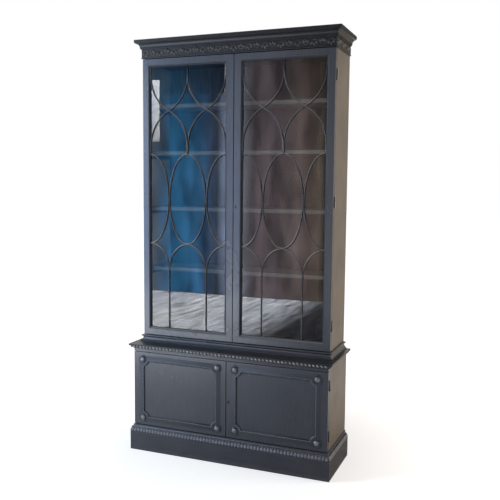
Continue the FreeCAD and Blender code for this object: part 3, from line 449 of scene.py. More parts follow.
# %% Mix the carving paints
# Hollow colours are painted shade; crest colours are rubbed wear and painted highlight.
HOLLOW_SHADE = (0.018, 0.019, 0.022)
CARVED = (0.115, 0.120, 0.141)
CARVED_HOLLOW_SHADE = (0.070, 0.074, 0.089)
CARVED_CREST_HIGHLIGHT = (0.27, 0.275, 0.31)
FRIEZE_CREST_HIGHLIGHT = (0.155, 0.150, 0.146)
BEAD_CREST_HIGHLIGHT = (0.62, 0.62, 0.65)
BAR = (0.030, 0.031, 0.036)
BAR_CREST_HIGHLIGHT = (0.10, 0.10, 0.11)
MOULDING_CREST_HIGHLIGHT = (0.44, 0.45, 0.48)
ROSETTE_CREST_HIGHLIGHT = (0.31, 0.315, 0.34)
carving_paint = carved_paint(
    "carving_paint", CARVED_HOLLOW_SHADE, CARVED, CARVED_CREST_HIGHLIGHT, roughness=0.3, gloss=0.3
)
frieze_paint = carved_paint(
    "frieze_paint", HOLLOW_SHADE, CORNICE, FRIEZE_CREST_HIGHLIGHT, roughness=0.34, gloss=0.25
)
bead_paint = carved_paint("bead_paint", HOLLOW_SHADE, CHARCOAL, BEAD_CREST_HIGHLIGHT, roughness=0.18)
bar_paint = carved_paint("bar_paint", HOLLOW_SHADE, BAR, BAR_CREST_HIGHLIGHT, roughness=0.16, dust_and_shading=0.9)
edge_paint = carved_paint(
    "edge_paint", CHARCOAL, CHARCOAL, MOULDING_CREST_HIGHLIGHT, roughness=0.3, gloss=0.3
)
rosette_paint = carved_paint("rosette_paint", HOLLOW_SHADE, CHARCOAL, ROSETTE_CREST_HIGHLIGHT, roughness=0.16)
print("six carving paints mixed")

# %% [markdown]
# ## Glass and metal
# Old window glass is clear and slightly wavy. The wave is a very soft bump, so that reflections bend a
# little, as they do in drawn glass. The two faces of a pane mirror almost the same picture, so only the
# face that light meets first mirrors here. The hinges are aged steel, the locks and bolts dull brass with
# darker spots, and the linings of the keyholes are brass that has gone nearly black.

# %% Glass
GLASS_TINT = (0.93, 0.96, 0.95)
GLASS_IOR = 1.5
SMEAR_SCALE, SMEAR_DETAIL = 30, 4
SMEAR_SPREAD = (0.4, 0.8, 0, 0.015)
WAVE_STRETCH = (1, 1, 0.5)
WAVE_SCALE, WAVE_DETAIL = 7, 1
WAVE_BUMP, WAVE_DEPTH = 0.06, 1.5 * MM


def wavy_glass(name):
    """Clear drawn glass, whose coat mirrors where light meets it first."""
    material, tree, shader = blank_material(name)
    settings = {"Transmission Weight": 1, "Roughness": 0, "IOR": 1, "Coat IOR": GLASS_IOR}
    for key, setting in settings.items():
        shader.inputs[key].default_value = setting
    shader.inputs["Base Color"].default_value = (*GLASS_TINT, 1)
    geometry = tree.nodes.new("ShaderNodeNewGeometry")
    first_face = ramp(tree, geometry.outputs["Backfacing"], 0, 1, 1, 0)
    tree.links.new(first_face, shader.inputs["Coat Weight"])
    smear = stretched_noise(tree, EVEN, SMEAR_SCALE, SMEAR_DETAIL)
    tree.links.new(ramp(tree, smear, *SMEAR_SPREAD), shader.inputs["Coat Roughness"])
    wave = stretched_noise(tree, WAVE_STRETCH, WAVE_SCALE, WAVE_DETAIL)
    bump_surface(tree, shader, wave, WAVE_BUMP, WAVE_DEPTH, "Coat Normal")
    return material


glass = wavy_glass("wavy_glass")
print("glass mixed")

# %% Metal
SPOT_SCALE, SPOT_DETAIL = 180, 6
SPOT_SPREAD = (0.45, 0.65, 0, 0.8)
SPOT_BUMP, SPOT_DEPTH = 0.2, 0.2 * MM
SCRATCH_STRETCH = (1, 1, 20)
SCRATCH_SCALE, SCRATCH_DETAIL = 60, 3
SCRATCH_START, SCRATCH_FULL = 0.3, 0.7
POLISHED, SCRATCHED = 0.1, 0.12
STEEL, STEEL_TARNISH = (0.26, 0.25, 0.24), (0.07, 0.055, 0.04)
BRASS, BRASS_TARNISH = (0.52, 0.38, 0.17), (0.16, 0.11, 0.05)
BLACKENED, BLACKENED_TARNISH = (0.07, 0.055, 0.045), (0.02, 0.016, 0.014)


def aged_metal(name, colour, tarnish, roughness):
    """Metal with darker tarnished spots and fine scratches."""
    material, tree, shader = blank_material(name)
    spots = stretched_noise(tree, EVEN, SPOT_SCALE, SPOT_DETAIL)
    scratches = stretched_noise(tree, SCRATCH_STRETCH, SCRATCH_SCALE, SCRATCH_DETAIL)
    tone = blend_colours(tree, ramp(tree, spots, *SPOT_SPREAD), colour, tarnish)
    tree.links.new(tone, shader.inputs["Base Color"])
    finest, coarsest = roughness - POLISHED, roughness + SCRATCHED
    dull = ramp(tree, scratches, SCRATCH_START, SCRATCH_FULL, finest, coarsest)
    tree.links.new(dull, shader.inputs["Roughness"])
    shader.inputs["Metallic"].default_value = 1
    bump_surface(tree, shader, spots, SPOT_BUMP, SPOT_DEPTH)
    return material


steel = aged_metal("aged_steel", STEEL, STEEL_TARNISH, roughness=0.42)
brass = aged_metal("aged_brass", BRASS, BRASS_TARNISH, roughness=0.38)
black_brass = aged_metal("blackened_brass", BLACKENED, BLACKENED_TARNISH, roughness=0.5)
print("metals mixed")

# %% [markdown]
# Every piece of the model now takes its finish. A list of every name would do, but it would be long
# and would miss a piece that is added later. The names say what a piece is, so the choice can follow
# the name.

# %% Give each piece its finish
INSIDE = ("base_bottom", "upper_bottom", "upper_top", "shelf_bearers")


def finish_for(name):
    """The finish of a piece, by its name."""
    if name.endswith("_glass"):
        return glass
    if "lock" in name or "door_bolt" in name:
        return brass
    if "hinge" in name:
        return steel
    if name.endswith("_back"):
        return back_finish
    if name.startswith(INSIDE) and not name.endswith("_rail"):
        return inner_paint
    if "shelf" in name:
        return shelf_paint
    if "side_" in name:
        return warm_lit_side_paint
    # The ledge board takes this dark paint too, as painted shade on its top.
    if name.startswith(("cornice", "frieze", "ledge_board")):
        return cornice_paint
    if name == "plinth_frame":
        return plinth_paint
    if name.endswith("_glass_moulding"):
        return glazing_paint
    if name.endswith("_rail") or name in ("plinth_moulding", "ledge_moulding", "waist_moulding"):
        return rail_paint
    return door_paint


for name, piece in nodes.items():
    piece.data.materials.clear()
    piece.data.materials.append(finish_for(name))
print("finishes given to", len(nodes), "pieces")

# %% [markdown]
# ## Astragal bars
# The glazing bars are thin strips bent into ogees, ovals and arches. A real bar has a rounded nose
# between two fillets. A bevelled curve could give a round bar, but not that section, so each bar is
# swept: a small section is carried along the bar's centre line. The lines are the ones the solid bars
# follow, worked out from the box that those bars fill.

# %% Sweep a section along a line on an upright plane
SHARPEST_TURN = 0.5


def right_of(before, here, after):
    """The sideways direction at a point of a line, lengthened where the line turns a corner."""
    first = (here - before).normalized() if before != here else (after - here).normalized()
    second = (after - here).normalized() if after != here else first
    along = (first + second).normalized()
    across = Vector((along.y, -along.x))
    return across / max(along.dot(first), SHARPEST_TURN)


def sweep(store, line, section, face, closed=False, top_crest=1):
    """Carry a section of (across, out) pairs along a line of (x, z) points that lies on a face."""
    rows = []
    count = len(line)
    tallest = max(out for across, out in section)
    for i, here in enumerate(line):
        before = line[i - 1] if closed or i > 0 else here
        after = line[(i + 1) % count] if closed or i < count - 1 else here
        side = right_of(before, here, after)
        row = []
        for across, out in section:
            place = (here.x + side.x * across, face - out, here.y + side.y * across)
            row.append((place, top_crest * out / tallest))
        rows.append(row)
    add_grid(store, rows, wrap_along=closed)
    if not closed:
        add_cap(store, rows[0])
        add_cap(store, rows[-1])


def mirrored(half_section):
    """A whole section from its left half, which ends on the middle line."""
    return half_section + [(-across, out) for across, out in reversed(half_section[:-1])]


BAR_HALF = [(-3.5, 0), (-3.5, 2.6), (-2.6, 3.4), (-2.4, 5.6), (-1.5, 7.3), (0, 8)]
BAR_SECTION = in_metres(mirrored(BAR_HALF))
print("bar section has", len(BAR_SECTION), "points")

# %% Draw ovals and ogees
ARC_STEPS = 28


def oval_line(x, z, half_width, half_height, start, end):
    """Part of an oval between two angles in degrees."""
    line = []
    for i in range(ARC_STEPS * 2 + 1):
        angle = math.radians(start + (end - start) * i / (ARC_STEPS * 2))
        line.append(Vector((x + half_width * math.cos(angle), z + half_height * math.sin(angle))))
    return line


def ogee_line(start_x, end_x, top, bottom, leg):
    """A line that starts and ends upright and swings from one side to the other in two equal arcs."""
    half_run = (end_x - start_x) / 2
    half_drop = (top - bottom) / 2 - leg
    turn = 2 * math.atan(abs(half_run) / half_drop)
    radius = half_drop / math.sin(turn)
    way = math.copysign(radius, half_run)
    upper, lower = [Vector((start_x, top))], [Vector((end_x, bottom))]
    for i in range(ARC_STEPS + 1):
        angle = turn * i / ARC_STEPS
        aside, drop = way * (1 - math.cos(angle)), radius * math.sin(angle)
        upper.append(Vector((start_x + aside, top - leg - drop)))
        lower.append(Vector((end_x - aside, bottom + leg + drop)))
    return upper + lower[-2::-1]


print("an ogee has", len(ogee_line(0, 1, 1, 0, 0)), "points")

# %% Lay out and sweep the bars of both doors
OVAL_TOP_SHARE, OVAL_BOTTOM_SHARE = 0.67, 0.33
ARCH_SPRING_SHARE, OGEE_LEG_SHARE = 0.221, 0.036
PAIR_SHIFT = 2.8 * MM


def bar_lines(left, right, bottom, top):
    """All centre lines of one door: ogees above, ovals in the middle and arches on legs below."""
    height = top - bottom
    oval_top, oval_bottom = bottom + height * OVAL_TOP_SHARE, bottom + height * OVAL_BOTTOM_SHARE
    oval_middle, oval_half = (oval_top + oval_bottom) / 2, (oval_top - oval_bottom) / 2
    spring, leg = bottom + height * ARCH_SPRING_SHARE, height * OGEE_LEG_SHARE
    centre, quarter = (left + right) / 2, (right - left) / 4
    swings = [(left, centre - PAIR_SHIFT), (centre, left), (centre, right), (right, centre + PAIR_SHIFT)]
    lines = [ogee_line(a, b, top, oval_top, leg) for a, b in swings]
    for x, start, end in ((left, -90, 90), (centre, 0, 360), (right, 90, 270)):
        lines.append(oval_line(x, oval_middle, quarter - PAIR_SHIFT, oval_half, start, end))
    for x, start, end in ((left, 0, 90), (centre, 0, 180), (right, 90, 180)):
        lines.append(oval_line(x, spring, quarter, oval_bottom - spring - PAIR_SHIFT, start, end))
    for x in (left + quarter, right - quarter):
        lines.append([Vector((x, spring)), Vector((x, bottom))])
    return lines


for side in ("left", "right"):
    low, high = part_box("upper_%s_tracery" % side)
    bars = new_store()
    for line in bar_lines(low.x, high.x, low.z, high.z):
        sweep(bars, line, BAR_SECTION, high.y)
    body = "upper_%s_door" % side
    bar_piece = make_piece("astragal_bars_" + side, bars, body, bar_paint)
    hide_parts("upper_%s_tracery" % side)

# %% [markdown]
# ## Frieze carving
# Under the cornice runs a carved vine: a waving stem with leaves in each bend. Sculpting it by hand
# would be slow and uneven. One leaf is a small net of points that swells in the middle, with lobed
# edges and a groove for the midrib, and the same leaf is planted in every bend along the front and
# both returns.

# %% Carve one leaf
LEAF_STEPS, LEAF_SIDES = 12, 8
STALK_SHARE, BLADE_SHARE, LEAF_TAPER = 0.06, 0.93, 0.7
LOBE_DEPTH, LOBE_TURNS = 0.16, 7
LEAF_ROUNDNESS = 2.4
GROOVE_DEPTH, GROOVE_WIDTH = 0.5, 0.2
DEEPEST = -0.05
CREST_GAIN = 1.3


def leaf_rows(length, width, rise, origin, along, out):
    """A leaf on a surface, with its tip at the end of its length, a grooved midrib and lobed edges."""
    across = along.cross(out)
    rows = []
    for i in range(LEAF_STEPS + 1):
        t = i / LEAF_STEPS
        fullness = math.sin(math.pi * min(STALK_SHARE + t * BLADE_SHARE, 1)) ** LEAF_TAPER
        lobes = 1 + LOBE_DEPTH * math.cos(t * math.pi * LOBE_TURNS)
        row = []
        for j in range(LEAF_SIDES + 1):
            s = j / LEAF_SIDES * 2 - 1
            groove = GROOVE_DEPTH * math.exp(-(s / GROOVE_WIDTH) ** 2)
            lift = max((1 - abs(s) ** LEAF_ROUNDNESS - groove) * fullness, DEEPEST)
            place = origin + along * (length * (t - 0.5)) + out * (rise * lift)
            place += across * (width / 2 * s * fullness * lobes)
            row.append((place, min(lift * CREST_GAIN, 1)))
        rows.append(row)
    return rows


sample_leaf = leaf_rows(1, 1, 1, Vector(), UP, FRONT)
print("a leaf has", len(sample_leaf) * len(sample_leaf[0]), "points")

# %% Carve a stem with its leaves
BEND_PITCH, SWING = 42 * MM, 10 * MM
STEM_STEPS, STEM_HALF, STEM_RISE = 10, 3 * MM, 3.6 * MM
STEM_SECTION = (-1, -0.6, 0, 0.6, 1)
VINE_LEAF_LENGTH, VINE_LEAF_WIDTH, VINE_LEAF_RISE = 25 * MM, 14 * MM, 5.4 * MM
LEAF_FAN = (-1.3, 0, 1.3)
ROOT_SHARE, LEAF_OUT_SHARE = 0.5, 0.6
END_GAP = 3 * MM


def shortened(start, end):
    """The two ends of a run, drawn in so that nothing stands past a corner."""
    gap = (end - start).normalized() * END_GAP
    return start + gap, end - gap


def add_stem(store, start, step, bends, out):
    """A stem that waves up and down along a run."""
    rows = []
    for i in range(bends * STEM_STEPS + 1):
        turn = math.pi * i / STEM_STEPS
        middle = start + step * (i / STEM_STEPS) + UP * (SWING * math.sin(turn))
        slope = (step + UP * (SWING * math.pi * math.cos(turn))).normalized()
        across = slope.cross(out)
        row = []
        for s in STEM_SECTION:
            crest = 1 - s * s
            row.append((middle + across * (STEM_HALF * s) + out * (STEM_RISE * crest), crest))
        rows.append(row)
    add_grid(store, rows)


def run_of_vine(store, start, end, out):
    """A stem from one end of a run to the other, with leaves fanned out in each bend."""
    start, end = shortened(start, end)
    bends = round((end - start).length / BEND_PITCH)
    step = (end - start) / bends
    add_stem(store, start, step, bends, out)
    for i in range(bends):
        inward = -UP if i % 2 == 0 else UP
        root = start + step * (i + 0.5) - inward * (SWING * ROOT_SHARE)
        for aside in LEAF_FAN:
            way = (inward + step.normalized() * aside).normalized()
            middle = root + way * (VINE_LEAF_LENGTH * LEAF_OUT_SHARE)
            rows = leaf_rows(VINE_LEAF_LENGTH, VINE_LEAF_WIDTH, VINE_LEAF_RISE, middle, way, out)
            add_grid(store, rows)
    return bends * len(LEAF_FAN)


print("a bend has", len(LEAF_FAN), "leaves")

# %% Run the vine round the frieze
FRIEZE_FLAT, PROUD = 4 * MM, 0.2 * MM
BAND_MIDDLE = 28 * MM
low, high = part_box("frieze")
front_y = low.y + FRIEZE_FLAT - PROUD
side_x = high.x - FRIEZE_FLAT + PROUD
level = low.z + BAND_MIDDLE
carving = new_store()
corners = [Vector((sign * side_x, front_y, level)) for sign in (-1, 1)]
leaf_count = run_of_vine(carving, *corners, FRONT)
for corner in corners:
    outward = Vector((math.copysign(1, corner.x), 0, 0))
    leaf_count += run_of_vine(carving, corner, Vector((corner.x, high.y, level)), outward)
make_piece("frieze_leaves", carving, "case", frieze_paint)
print("frieze leaves:", leaf_count)

# %% [markdown]
# ## Beads on the ledge
# Under the front edge of the ledge runs a row of leaning beads, like a thick twisted cord. Each bead is
# a small ball, sheared so that its top leans to the left, and let into the edge above it. A thin
# round strip fills the hollows between them. Beads that are real forms catch a spark of light each,
# which a bump could not give.

# %% Turn one bead
BALL_STEPS, BALL_SIDES = 8, 12


def ball_rows(origin, along, out, half_length, radius, lean):
    """A ball drawn out along a run, whose top leans to one side."""
    above = out.cross(along)
    rows = []
    for i in range(BALL_STEPS + 1):
        polar = math.pi * i / BALL_STEPS
        ring = radius * math.sin(polar)
        row = []
        for j in range(BALL_SIDES):
            turn = 2 * math.pi * j / BALL_SIDES
            rise, reach = ring * math.sin(turn), ring * math.cos(turn)
            shift = half_length * math.cos(polar) + lean * rise
            place = origin + along * shift + out * reach + above * rise
            row.append((place, math.sqrt(max(reach / radius, 0))))
        rows.append(row)
    return rows


print("a bead has", len(ball_rows(Vector(), RIGHT, FRONT, 1, 1, 0)) * BALL_SIDES, "points")

# %% Plant the beads
BEAD_COUNT = 54
BEAD_RADIUS, BEAD_HALF_SHARE, BEAD_LEAN = 7.6 * MM, 0.4, -0.5
BEAD_LIFT, BEAD_FORWARD = 5.5 * MM, 2 * MM
CORE_RADIUS, CORE_STEPS = 3 * MM, 8
low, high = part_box("ledge_bead_strip")
bead_pitch = (high.x - low.x) / BEAD_COUNT
bead_z = high.z - BEAD_RADIUS + BEAD_LIFT
beads = new_store()
for i in range(BEAD_COUNT):
    place = Vector((low.x + bead_pitch * (i + 0.5), high.y - BEAD_FORWARD, bead_z))
    rows = ball_rows(place, RIGHT, FRONT, bead_pitch * BEAD_HALF_SHARE, BEAD_RADIUS, BEAD_LEAN)
    add_grid(beads, rows, wrap_across=True)
core_rows = []
for x in (low.x, high.x):
    row = []
    for j in range(CORE_STEPS + 1):
        angle = math.pi * (j / CORE_STEPS - 0.5)
        place = (x, high.y - CORE_RADIUS * math.cos(angle), bead_z - CORE_RADIUS * math.sin(angle))
        row.append((place, 0))
    core_rows.append(row)
add_grid(beads, core_rows)
# The bead paint lightens the front of each bead as a painted highlight.
bead_piece = make_piece("ledge_beads", beads, "case", bead_paint)
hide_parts("ledge_bead_strip")

# %% [markdown]
# ## Leaves on the plinth
# The swelling part of the plinth moulding has leaves that lie along it end to end. They are the
# frieze's leaf again, laid down and tilted to the slope of the moulding, with a row of small pearls
# above them. A displaced surface could show them too, but it would need far more points.

# %% Lay leaves end to end
PLINTH_PITCH = 18 * MM
LEAF_LAP, PLINTH_LEAF_WIDTH, PLINTH_LEAF_RISE = 1.1, 24 * MM, 3 * MM
PEARL_RADIUS, PEARL_UP, PEARL_BACK = 3.8 * MM, 11 * MM, 5 * MM
PEARL_SHARES = (-0.25, 0.25)
SLOPE = math.radians(18)


def lying_leaves(store, start, end, flat_out):
    """Leaves laid end to end along the swelling of the plinth, with pearls above them."""
    start, end = shortened(start, end)
    way = (end - start).normalized()
    count = round((end - start).length / PLINTH_PITCH)
    step = (end - start) / count
    length = step.length * LEAF_LAP
    out = flat_out * math.cos(SLOPE) + UP * math.sin(SLOPE)
    for i in range(count):
        place = start + step * (i + 0.5)
        add_grid(store, leaf_rows(length, PLINTH_LEAF_WIDTH, PLINTH_LEAF_RISE, place, way, out))
        for share in PEARL_SHARES:
            pearl = place + step * share + UP * PEARL_UP - flat_out * PEARL_BACK
            rows = ball_rows(pearl, way, flat_out, PEARL_RADIUS, PEARL_RADIUS, 0)
            add_grid(store, rows, wrap_across=True)
    return count


print("plinth leaves tilt by", round(math.degrees(SLOPE)), "degrees")

# %% Lay the leaves round the plinth
PLINTH_REACH = 17.5 * MM
SWELL_OUT_SHARE, SWELL_UP_SHARE = 0.9, 0.36
low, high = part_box("plinth_moulding")
inset = PLINTH_REACH * (1 - SWELL_OUT_SHARE)
level = low.z + (high.z - low.z) * SWELL_UP_SHARE
plinth_leaves = new_store()
corners = [Vector((x, low.y + inset, level)) for x in (low.x + inset, high.x - inset)]
leaf_count = lying_leaves(plinth_leaves, *corners, FRONT)
for corner in corners:
    outward = Vector((math.copysign(1, corner.x), 0, 0))
    leaf_count += lying_leaves(plinth_leaves, corner, Vector((corner.x, high.y, level)), outward)
make_piece("plinth_leaves", plinth_leaves, "case", carving_paint)
print("plinth leaves:", leaf_count)

# %% [markdown]
# ## Panel mouldings and rosettes
# Each cupboard door has a planted moulding whose corners hollow round a turned rosette. It falls
# steeply to the panel and gently to the frame, so its left and top stay dark and its right and bottom
# catch the light. A bevel could not give two such slopes, so it is swept round the panel like the
# glazing bars, with small beads along its steep side. The rosettes are turned as on a lathe: a
# section is carried round an axis, with shallow petals cut into the rim.

# %% Sweep the panel mouldings
PANEL_SECTION = in_metres([
    (-10.8, 0), (-10.6, 0.3), (-3.8, 6.7), (-3.2, 6.9), (3, 5.7), (10, 3), (17, 0.8), (22, 0),
])
HOLLOW = 28 * MM
HOLLOW_STEPS = 8
MOULDING_TOP_CREST = 0.5
SMALL_BEAD_INSET, SMALL_BEAD_OUT = 5 * MM, 5 * MM
SMALL_BEAD_PITCH, SMALL_BEAD_RADIUS = 7.5 * MM, 2.6 * MM


def hollow_line(low, high, inset):
    """A closed line inside the edge of a panel, with a hollow part of a circle round each corner."""
    line = []
    radius = HOLLOW + inset
    meet = math.degrees(math.asin(inset / radius))
    corners = ((high.x, low.z, 180), (high.x, high.z, 270), (low.x, high.z, 360), (low.x, low.z, 450))
    for x, z, start in corners:
        for i in range(HOLLOW_STEPS + 1):
            angle = math.radians(start - meet - (90 - 2 * meet) * i / HOLLOW_STEPS)
            line.append(Vector((x + radius * math.cos(angle), z + radius * math.sin(angle))))
    return line


def beads_along(store, line, face):
    """Small beads spaced along a closed line."""
    count = 0
    for i, start in enumerate(line):
        end = line[(i + 1) % len(line)]
        number = max(round((end - start).length / SMALL_BEAD_PITCH), 1)
        for k in range(number):
            spot = start.lerp(end, (k + 0.5) / number)
            place = Vector((spot.x, face, spot.y))
            rows = ball_rows(place, RIGHT, FRONT, SMALL_BEAD_RADIUS, SMALL_BEAD_RADIUS, 0)
            add_grid(store, rows, wrap_across=True)
        count += number
    return count


for side in ("left", "right"):
    low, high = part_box("lower_%s_panel" % side)
    moulding = new_store()
    outline = hollow_line(low, high, 0)
    sweep(moulding, outline, PANEL_SECTION, low.y, closed=True, top_crest=MOULDING_TOP_CREST)
    bead_line = hollow_line(low, high, SMALL_BEAD_INSET)
    print("beads:", beads_along(moulding, bead_line, low.y - SMALL_BEAD_OUT))
    body = "lower_%s_door" % side
    moulding_piece = make_piece("carved_moulding_" + side, moulding, body, edge_paint)
    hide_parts("lower_%s_panel_moulding" % side)

# %% Turn the rosettes
ROSETTE_SECTION = in_metres([
    (23.5, 0), (23.5, 2.6), (22.8, 4), (21.1, 4.8), (19.1, 4.6), (17.6, 3.2), (16.5, 2.6),
    (15.8, 3.8), (15, 6), (12.8, 8.4), (9.7, 9.9), (5.9, 10.7), (2.6, 11), (0.2, 11),
])
ROSETTE_TURNS = 48
PETALS = 8
PETAL_DEPTH = 0.7 * MM
RIM_START = 17 * MM


def turned_rows(x, z, face):
    """A rosette on a door's face, with petals in its rim."""
    tallest = max(out for radius, out in ROSETTE_SECTION)
    rows = []
    for radius, out in ROSETTE_SECTION:
        row = []
        for j in range(ROSETTE_TURNS):
            turn = 2 * math.pi * j / ROSETTE_TURNS
            petal = PETAL_DEPTH * math.cos(PETALS * turn) if radius > RIM_START and out > 0 else 0
            reach = radius + min(petal, 0)
            place = (x + reach * math.cos(turn), face - out - petal, z + reach * math.sin(turn))
            row.append((place, out / tallest))
        rows.append(row)
    return rows


for side in ("left", "right"):
    low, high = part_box("lower_%s_panel" % side)
    turning = new_store()
    for x in (low.x, high.x):
        for z in (low.z, high.z):
            add_grid(turning, turned_rows(x, z, low.y), wrap_across=True)
    body = "lower_%s_door" % side
    rosette_piece = make_piece("turned_rosettes_" + side, turning, body, rosette_paint)
    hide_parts("lower_%s_rosettes" % side)

# %% [markdown]
# ## Keyholes and screws
# Each right door has a keyhole with a thin lining let into the stile. A painted dot would do from
# afar, but a lining is a form that catches the light. Its outline is a round head with a slot below,
# and a small section is swept round it.

# %% Line the keyholes
KEYHOLE_RADIUS, SLOT_HALF, SLOT_DROP = 3.6 * MM, 2.2 * MM, 10 * MM
KEYHOLE_STEPS = 24


def keyhole_line(x, z):
    """The outline of a keyhole: a round head with a slot below."""
    line = []
    meet = math.asin(SLOT_HALF / KEYHOLE_RADIUS)
    for i in range(KEYHOLE_STEPS + 1):
        angle = -math.pi / 2 + meet + (2 * math.pi - 2 * meet) * i / KEYHOLE_STEPS
        line.append(Vector((x + KEYHOLE_RADIUS * math.cos(angle), z + KEYHOLE_RADIUS * math.sin(angle))))
    line.append(Vector((x - SLOT_HALF, z - SLOT_DROP)))
    line.append(Vector((x + SLOT_HALF, z - SLOT_DROP)))
    return line


LINING_SECTION = in_metres(mirrored([(-0.9, 0), (-0.9, 0.5), (-0.5, 0.9), (0, 1)]))
KEY_FROM_EDGE = 12 * MM
for case in ("upper", "lower"):
    low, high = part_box(case + "_lock")
    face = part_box(case + "_right_frame")[0].y
    outline = keyhole_line(low.x + KEY_FROM_EDGE, (low.z + high.z) / 2)
    lining = new_store()
    sweep(lining, outline, LINING_SECTION, face, closed=True)
    make_piece(case + "_keyhole_lining", lining, case + "_right_door", black_brass)

# %% [markdown]
# Three slotted screws hold each hinge leaf, and they show when a door stands open. A slot could be cut
# with a boolean, but a head made as two half discs has its slot between them already. The hinges of a
# door stand one above the other with wide spaces between, so their heights can be read from the gaps
# in the leaves' own points.

# %% Make a slotted screw head
HEAD_RADIUS, SLOT_WIDTH, HEAD_RISE = 3.2 * MM, 0.9 * MM, 0.15 * MM
HEAD_STEPS = 12


def add_screw(store, place, out):
    """A slotted head on a face, out being 1 or -1 along Y."""
    start = math.asin(SLOT_WIDTH / 2 / HEAD_RADIUS)
    for half in (1, -1):
        rim = []
        for i in range(HEAD_STEPS + 1):
            angle = start + (math.pi - 2 * start) * i / HEAD_STEPS
            rim.append(Vector((HEAD_RADIUS * math.cos(angle), 0, HEAD_RADIUS * math.sin(angle))) * half)
        rings = []
        for rise in (0, HEAD_RISE):
            rings.append([(place + spot + Vector((0, out * rise, 0)), 1) for spot in rim])
        add_grid(store, rings, wrap_across=True)
        add_cap(store, rings[1])


print("screw head radius:", HEAD_RADIUS / MM, "mm")

# %% Screw on the hinge leaves
HINGE_SPACE = 60 * MM
LEVEL_DIGITS = 5
SCREW_INSET, MIDDLE_SCREW_INSET = 6 * MM, 11 * MM
SCREW_PLACES = [(0.17, SCREW_INSET), (0.5, MIDDLE_SCREW_INSET), (0.83, SCREW_INSET)]


def hinge_spans(name):
    """The lowest and highest level of each hinge in a node of leaves."""
    levels = sorted({round(point.co.z, LEVEL_DIGITS) for point in nodes[name].data.vertices})
    spans = [[levels[0], levels[0]]]
    for level in levels:
        if level - spans[-1][1] > HINGE_SPACE:
            spans.append([level, level])
        spans[-1][1] = level
    return spans


def leaf_screws(store, name, face, out):
    """Three screws in each leaf of one door's hinges."""
    low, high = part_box(name)
    edge, into_leaf = (low.x, 1) if low.x > 0 else (high.x, -1)
    for bottom, top in hinge_spans(name):
        for share, inset in SCREW_PLACES:
            level = bottom + (top - bottom) * share
            add_screw(store, Vector((edge + into_leaf * inset, face, level)), out)


case_screws = new_store()
for case, board in (("upper", "upper_side_"), ("lower", "base_side_")):
    for side in ("left", "right"):
        leaves = "%s_%s_hinge_leaves" % (case, side)
        body = "%s_%s_door" % (case, side)
        door_screws = new_store()
        leaf_screws(door_screws, leaves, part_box("%s_%s_frame" % (case, side))[1].y, 1)
        make_piece("%s_%s_hinge_screws" % (case, side), door_screws, body, steel)
        leaf_screws(case_screws, leaves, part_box(board + side)[0].y, -1)
make_piece("case_hinge_screws", case_screws, "case", steel)

# %% [markdown]
# ## The studio
# The bookcase stands cut out on white. A pale floor carries its shadow, and the world is white to the
# camera, to gloss and through glass. All other light from the world is dimmer, so that white does not
# wash over the paint.

# %% What the camera sees
def seen_directly(tree):
    """One for what the camera sees, also in gloss and through glass, and nought for other light."""
    path = tree.nodes.new("ShaderNodeLightPath")
    seen = path.outputs["Is Camera Ray"]
    for kind in ("Is Glossy Ray", "Is Transmission Ray"):
        both = tree.nodes.new("ShaderNodeMath")
        both.operation = "MAXIMUM"
        tree.links.new(seen, both.inputs[0])
        tree.links.new(path.outputs[kind], both.inputs[1])
        seen = both.outputs[0]
    return seen


print("white is for the camera, for gloss and for glass")

# %% [markdown]
# The floor glows by itself to look white, but less near the bookcase, where its shadow has to show.
# A lamp over the floor would whiten it too, but would also flatten the paint. Cycles is told not to
# sample the floor as a lamp, since its glow is only for the camera, for gloss and for glass.

# %% Floor
FLOOR_SIZE = 60
FLOOR_GREY = (0.85, 0.85, 0.85, 1)
FLOOR_ROUGHNESS = 0.95
WHITE = (1, 1, 1, 1)
SHADOW_START, SHADOW_END = 0.6, 1.7
NEAR_GLOW, FAR_GLOW = 0.54, 0.93


def floor_glow(tree):
    """How much the floor glows: less near the bookcase, so that its shadow shows there."""
    place = tree.nodes.new("ShaderNodeTexCoord")
    away = tree.nodes.new("ShaderNodeVectorMath")
    away.operation = "LENGTH"
    tree.links.new(place.outputs["Object"], away.inputs[0])
    return ramp(tree, away.outputs["Value"], SHADOW_START, SHADOW_END, NEAR_GLOW, FAR_GLOW)


def plain_floor():
    """A wide pale floor that keeps a soft shadow."""
    bpy.ops.mesh.primitive_plane_add(size=FLOOR_SIZE)
    floor = bpy.context.object
    floor.name = "studio_floor"
    material, tree, shader = blank_material("studio_floor")
    shader.inputs["Base Color"].default_value = FLOOR_GREY
    shader.inputs["Roughness"].default_value = FLOOR_ROUGHNESS
    shader.inputs["Specular IOR Level"].default_value = 0
    shader.inputs["Emission Color"].default_value = WHITE
    glow = times(tree, seen_directly(tree), floor_glow(tree))
    tree.links.new(glow, shader.inputs["Emission Strength"])
    material.cycles.emission_sampling = "NONE"
    floor.data.materials.append(material)


plain_floor()
print("floor set, with its shadow out to", SHADOW_END, "m")

# %% World
AMBIENT = 0.18


def white_world():
    """White to the camera, to gloss and through glass, and a softer light elsewhere."""
    world = bpy.data.worlds.new("studio_world")
    scene.world = world
    world.use_nodes = True
    tree = world.node_tree
    background = tree.nodes["Background"]
    background.inputs["Color"].default_value = WHITE
    tree.links.new(ramp(tree, seen_directly(tree), 0, 1, AMBIENT, 1), background.inputs["Strength"])


white_world()
print("world set, at", AMBIENT, "for all other light")

# %% [markdown]
# A cool light stands before the front on the left, nearly as high as the tops of the glazed doors. It
# rakes across them, so that mouldings and rosettes throw short shadows to the right. A warm one
# stands on the right, behind the plane of the front, so that it lights the side and not the doors.
# Sun lamps would cut hard shadows, so both are broad area lights.

# %% Lights
COOL, WARM = (0.78, 0.89, 1.0), (1.0, 0.88, 0.76)


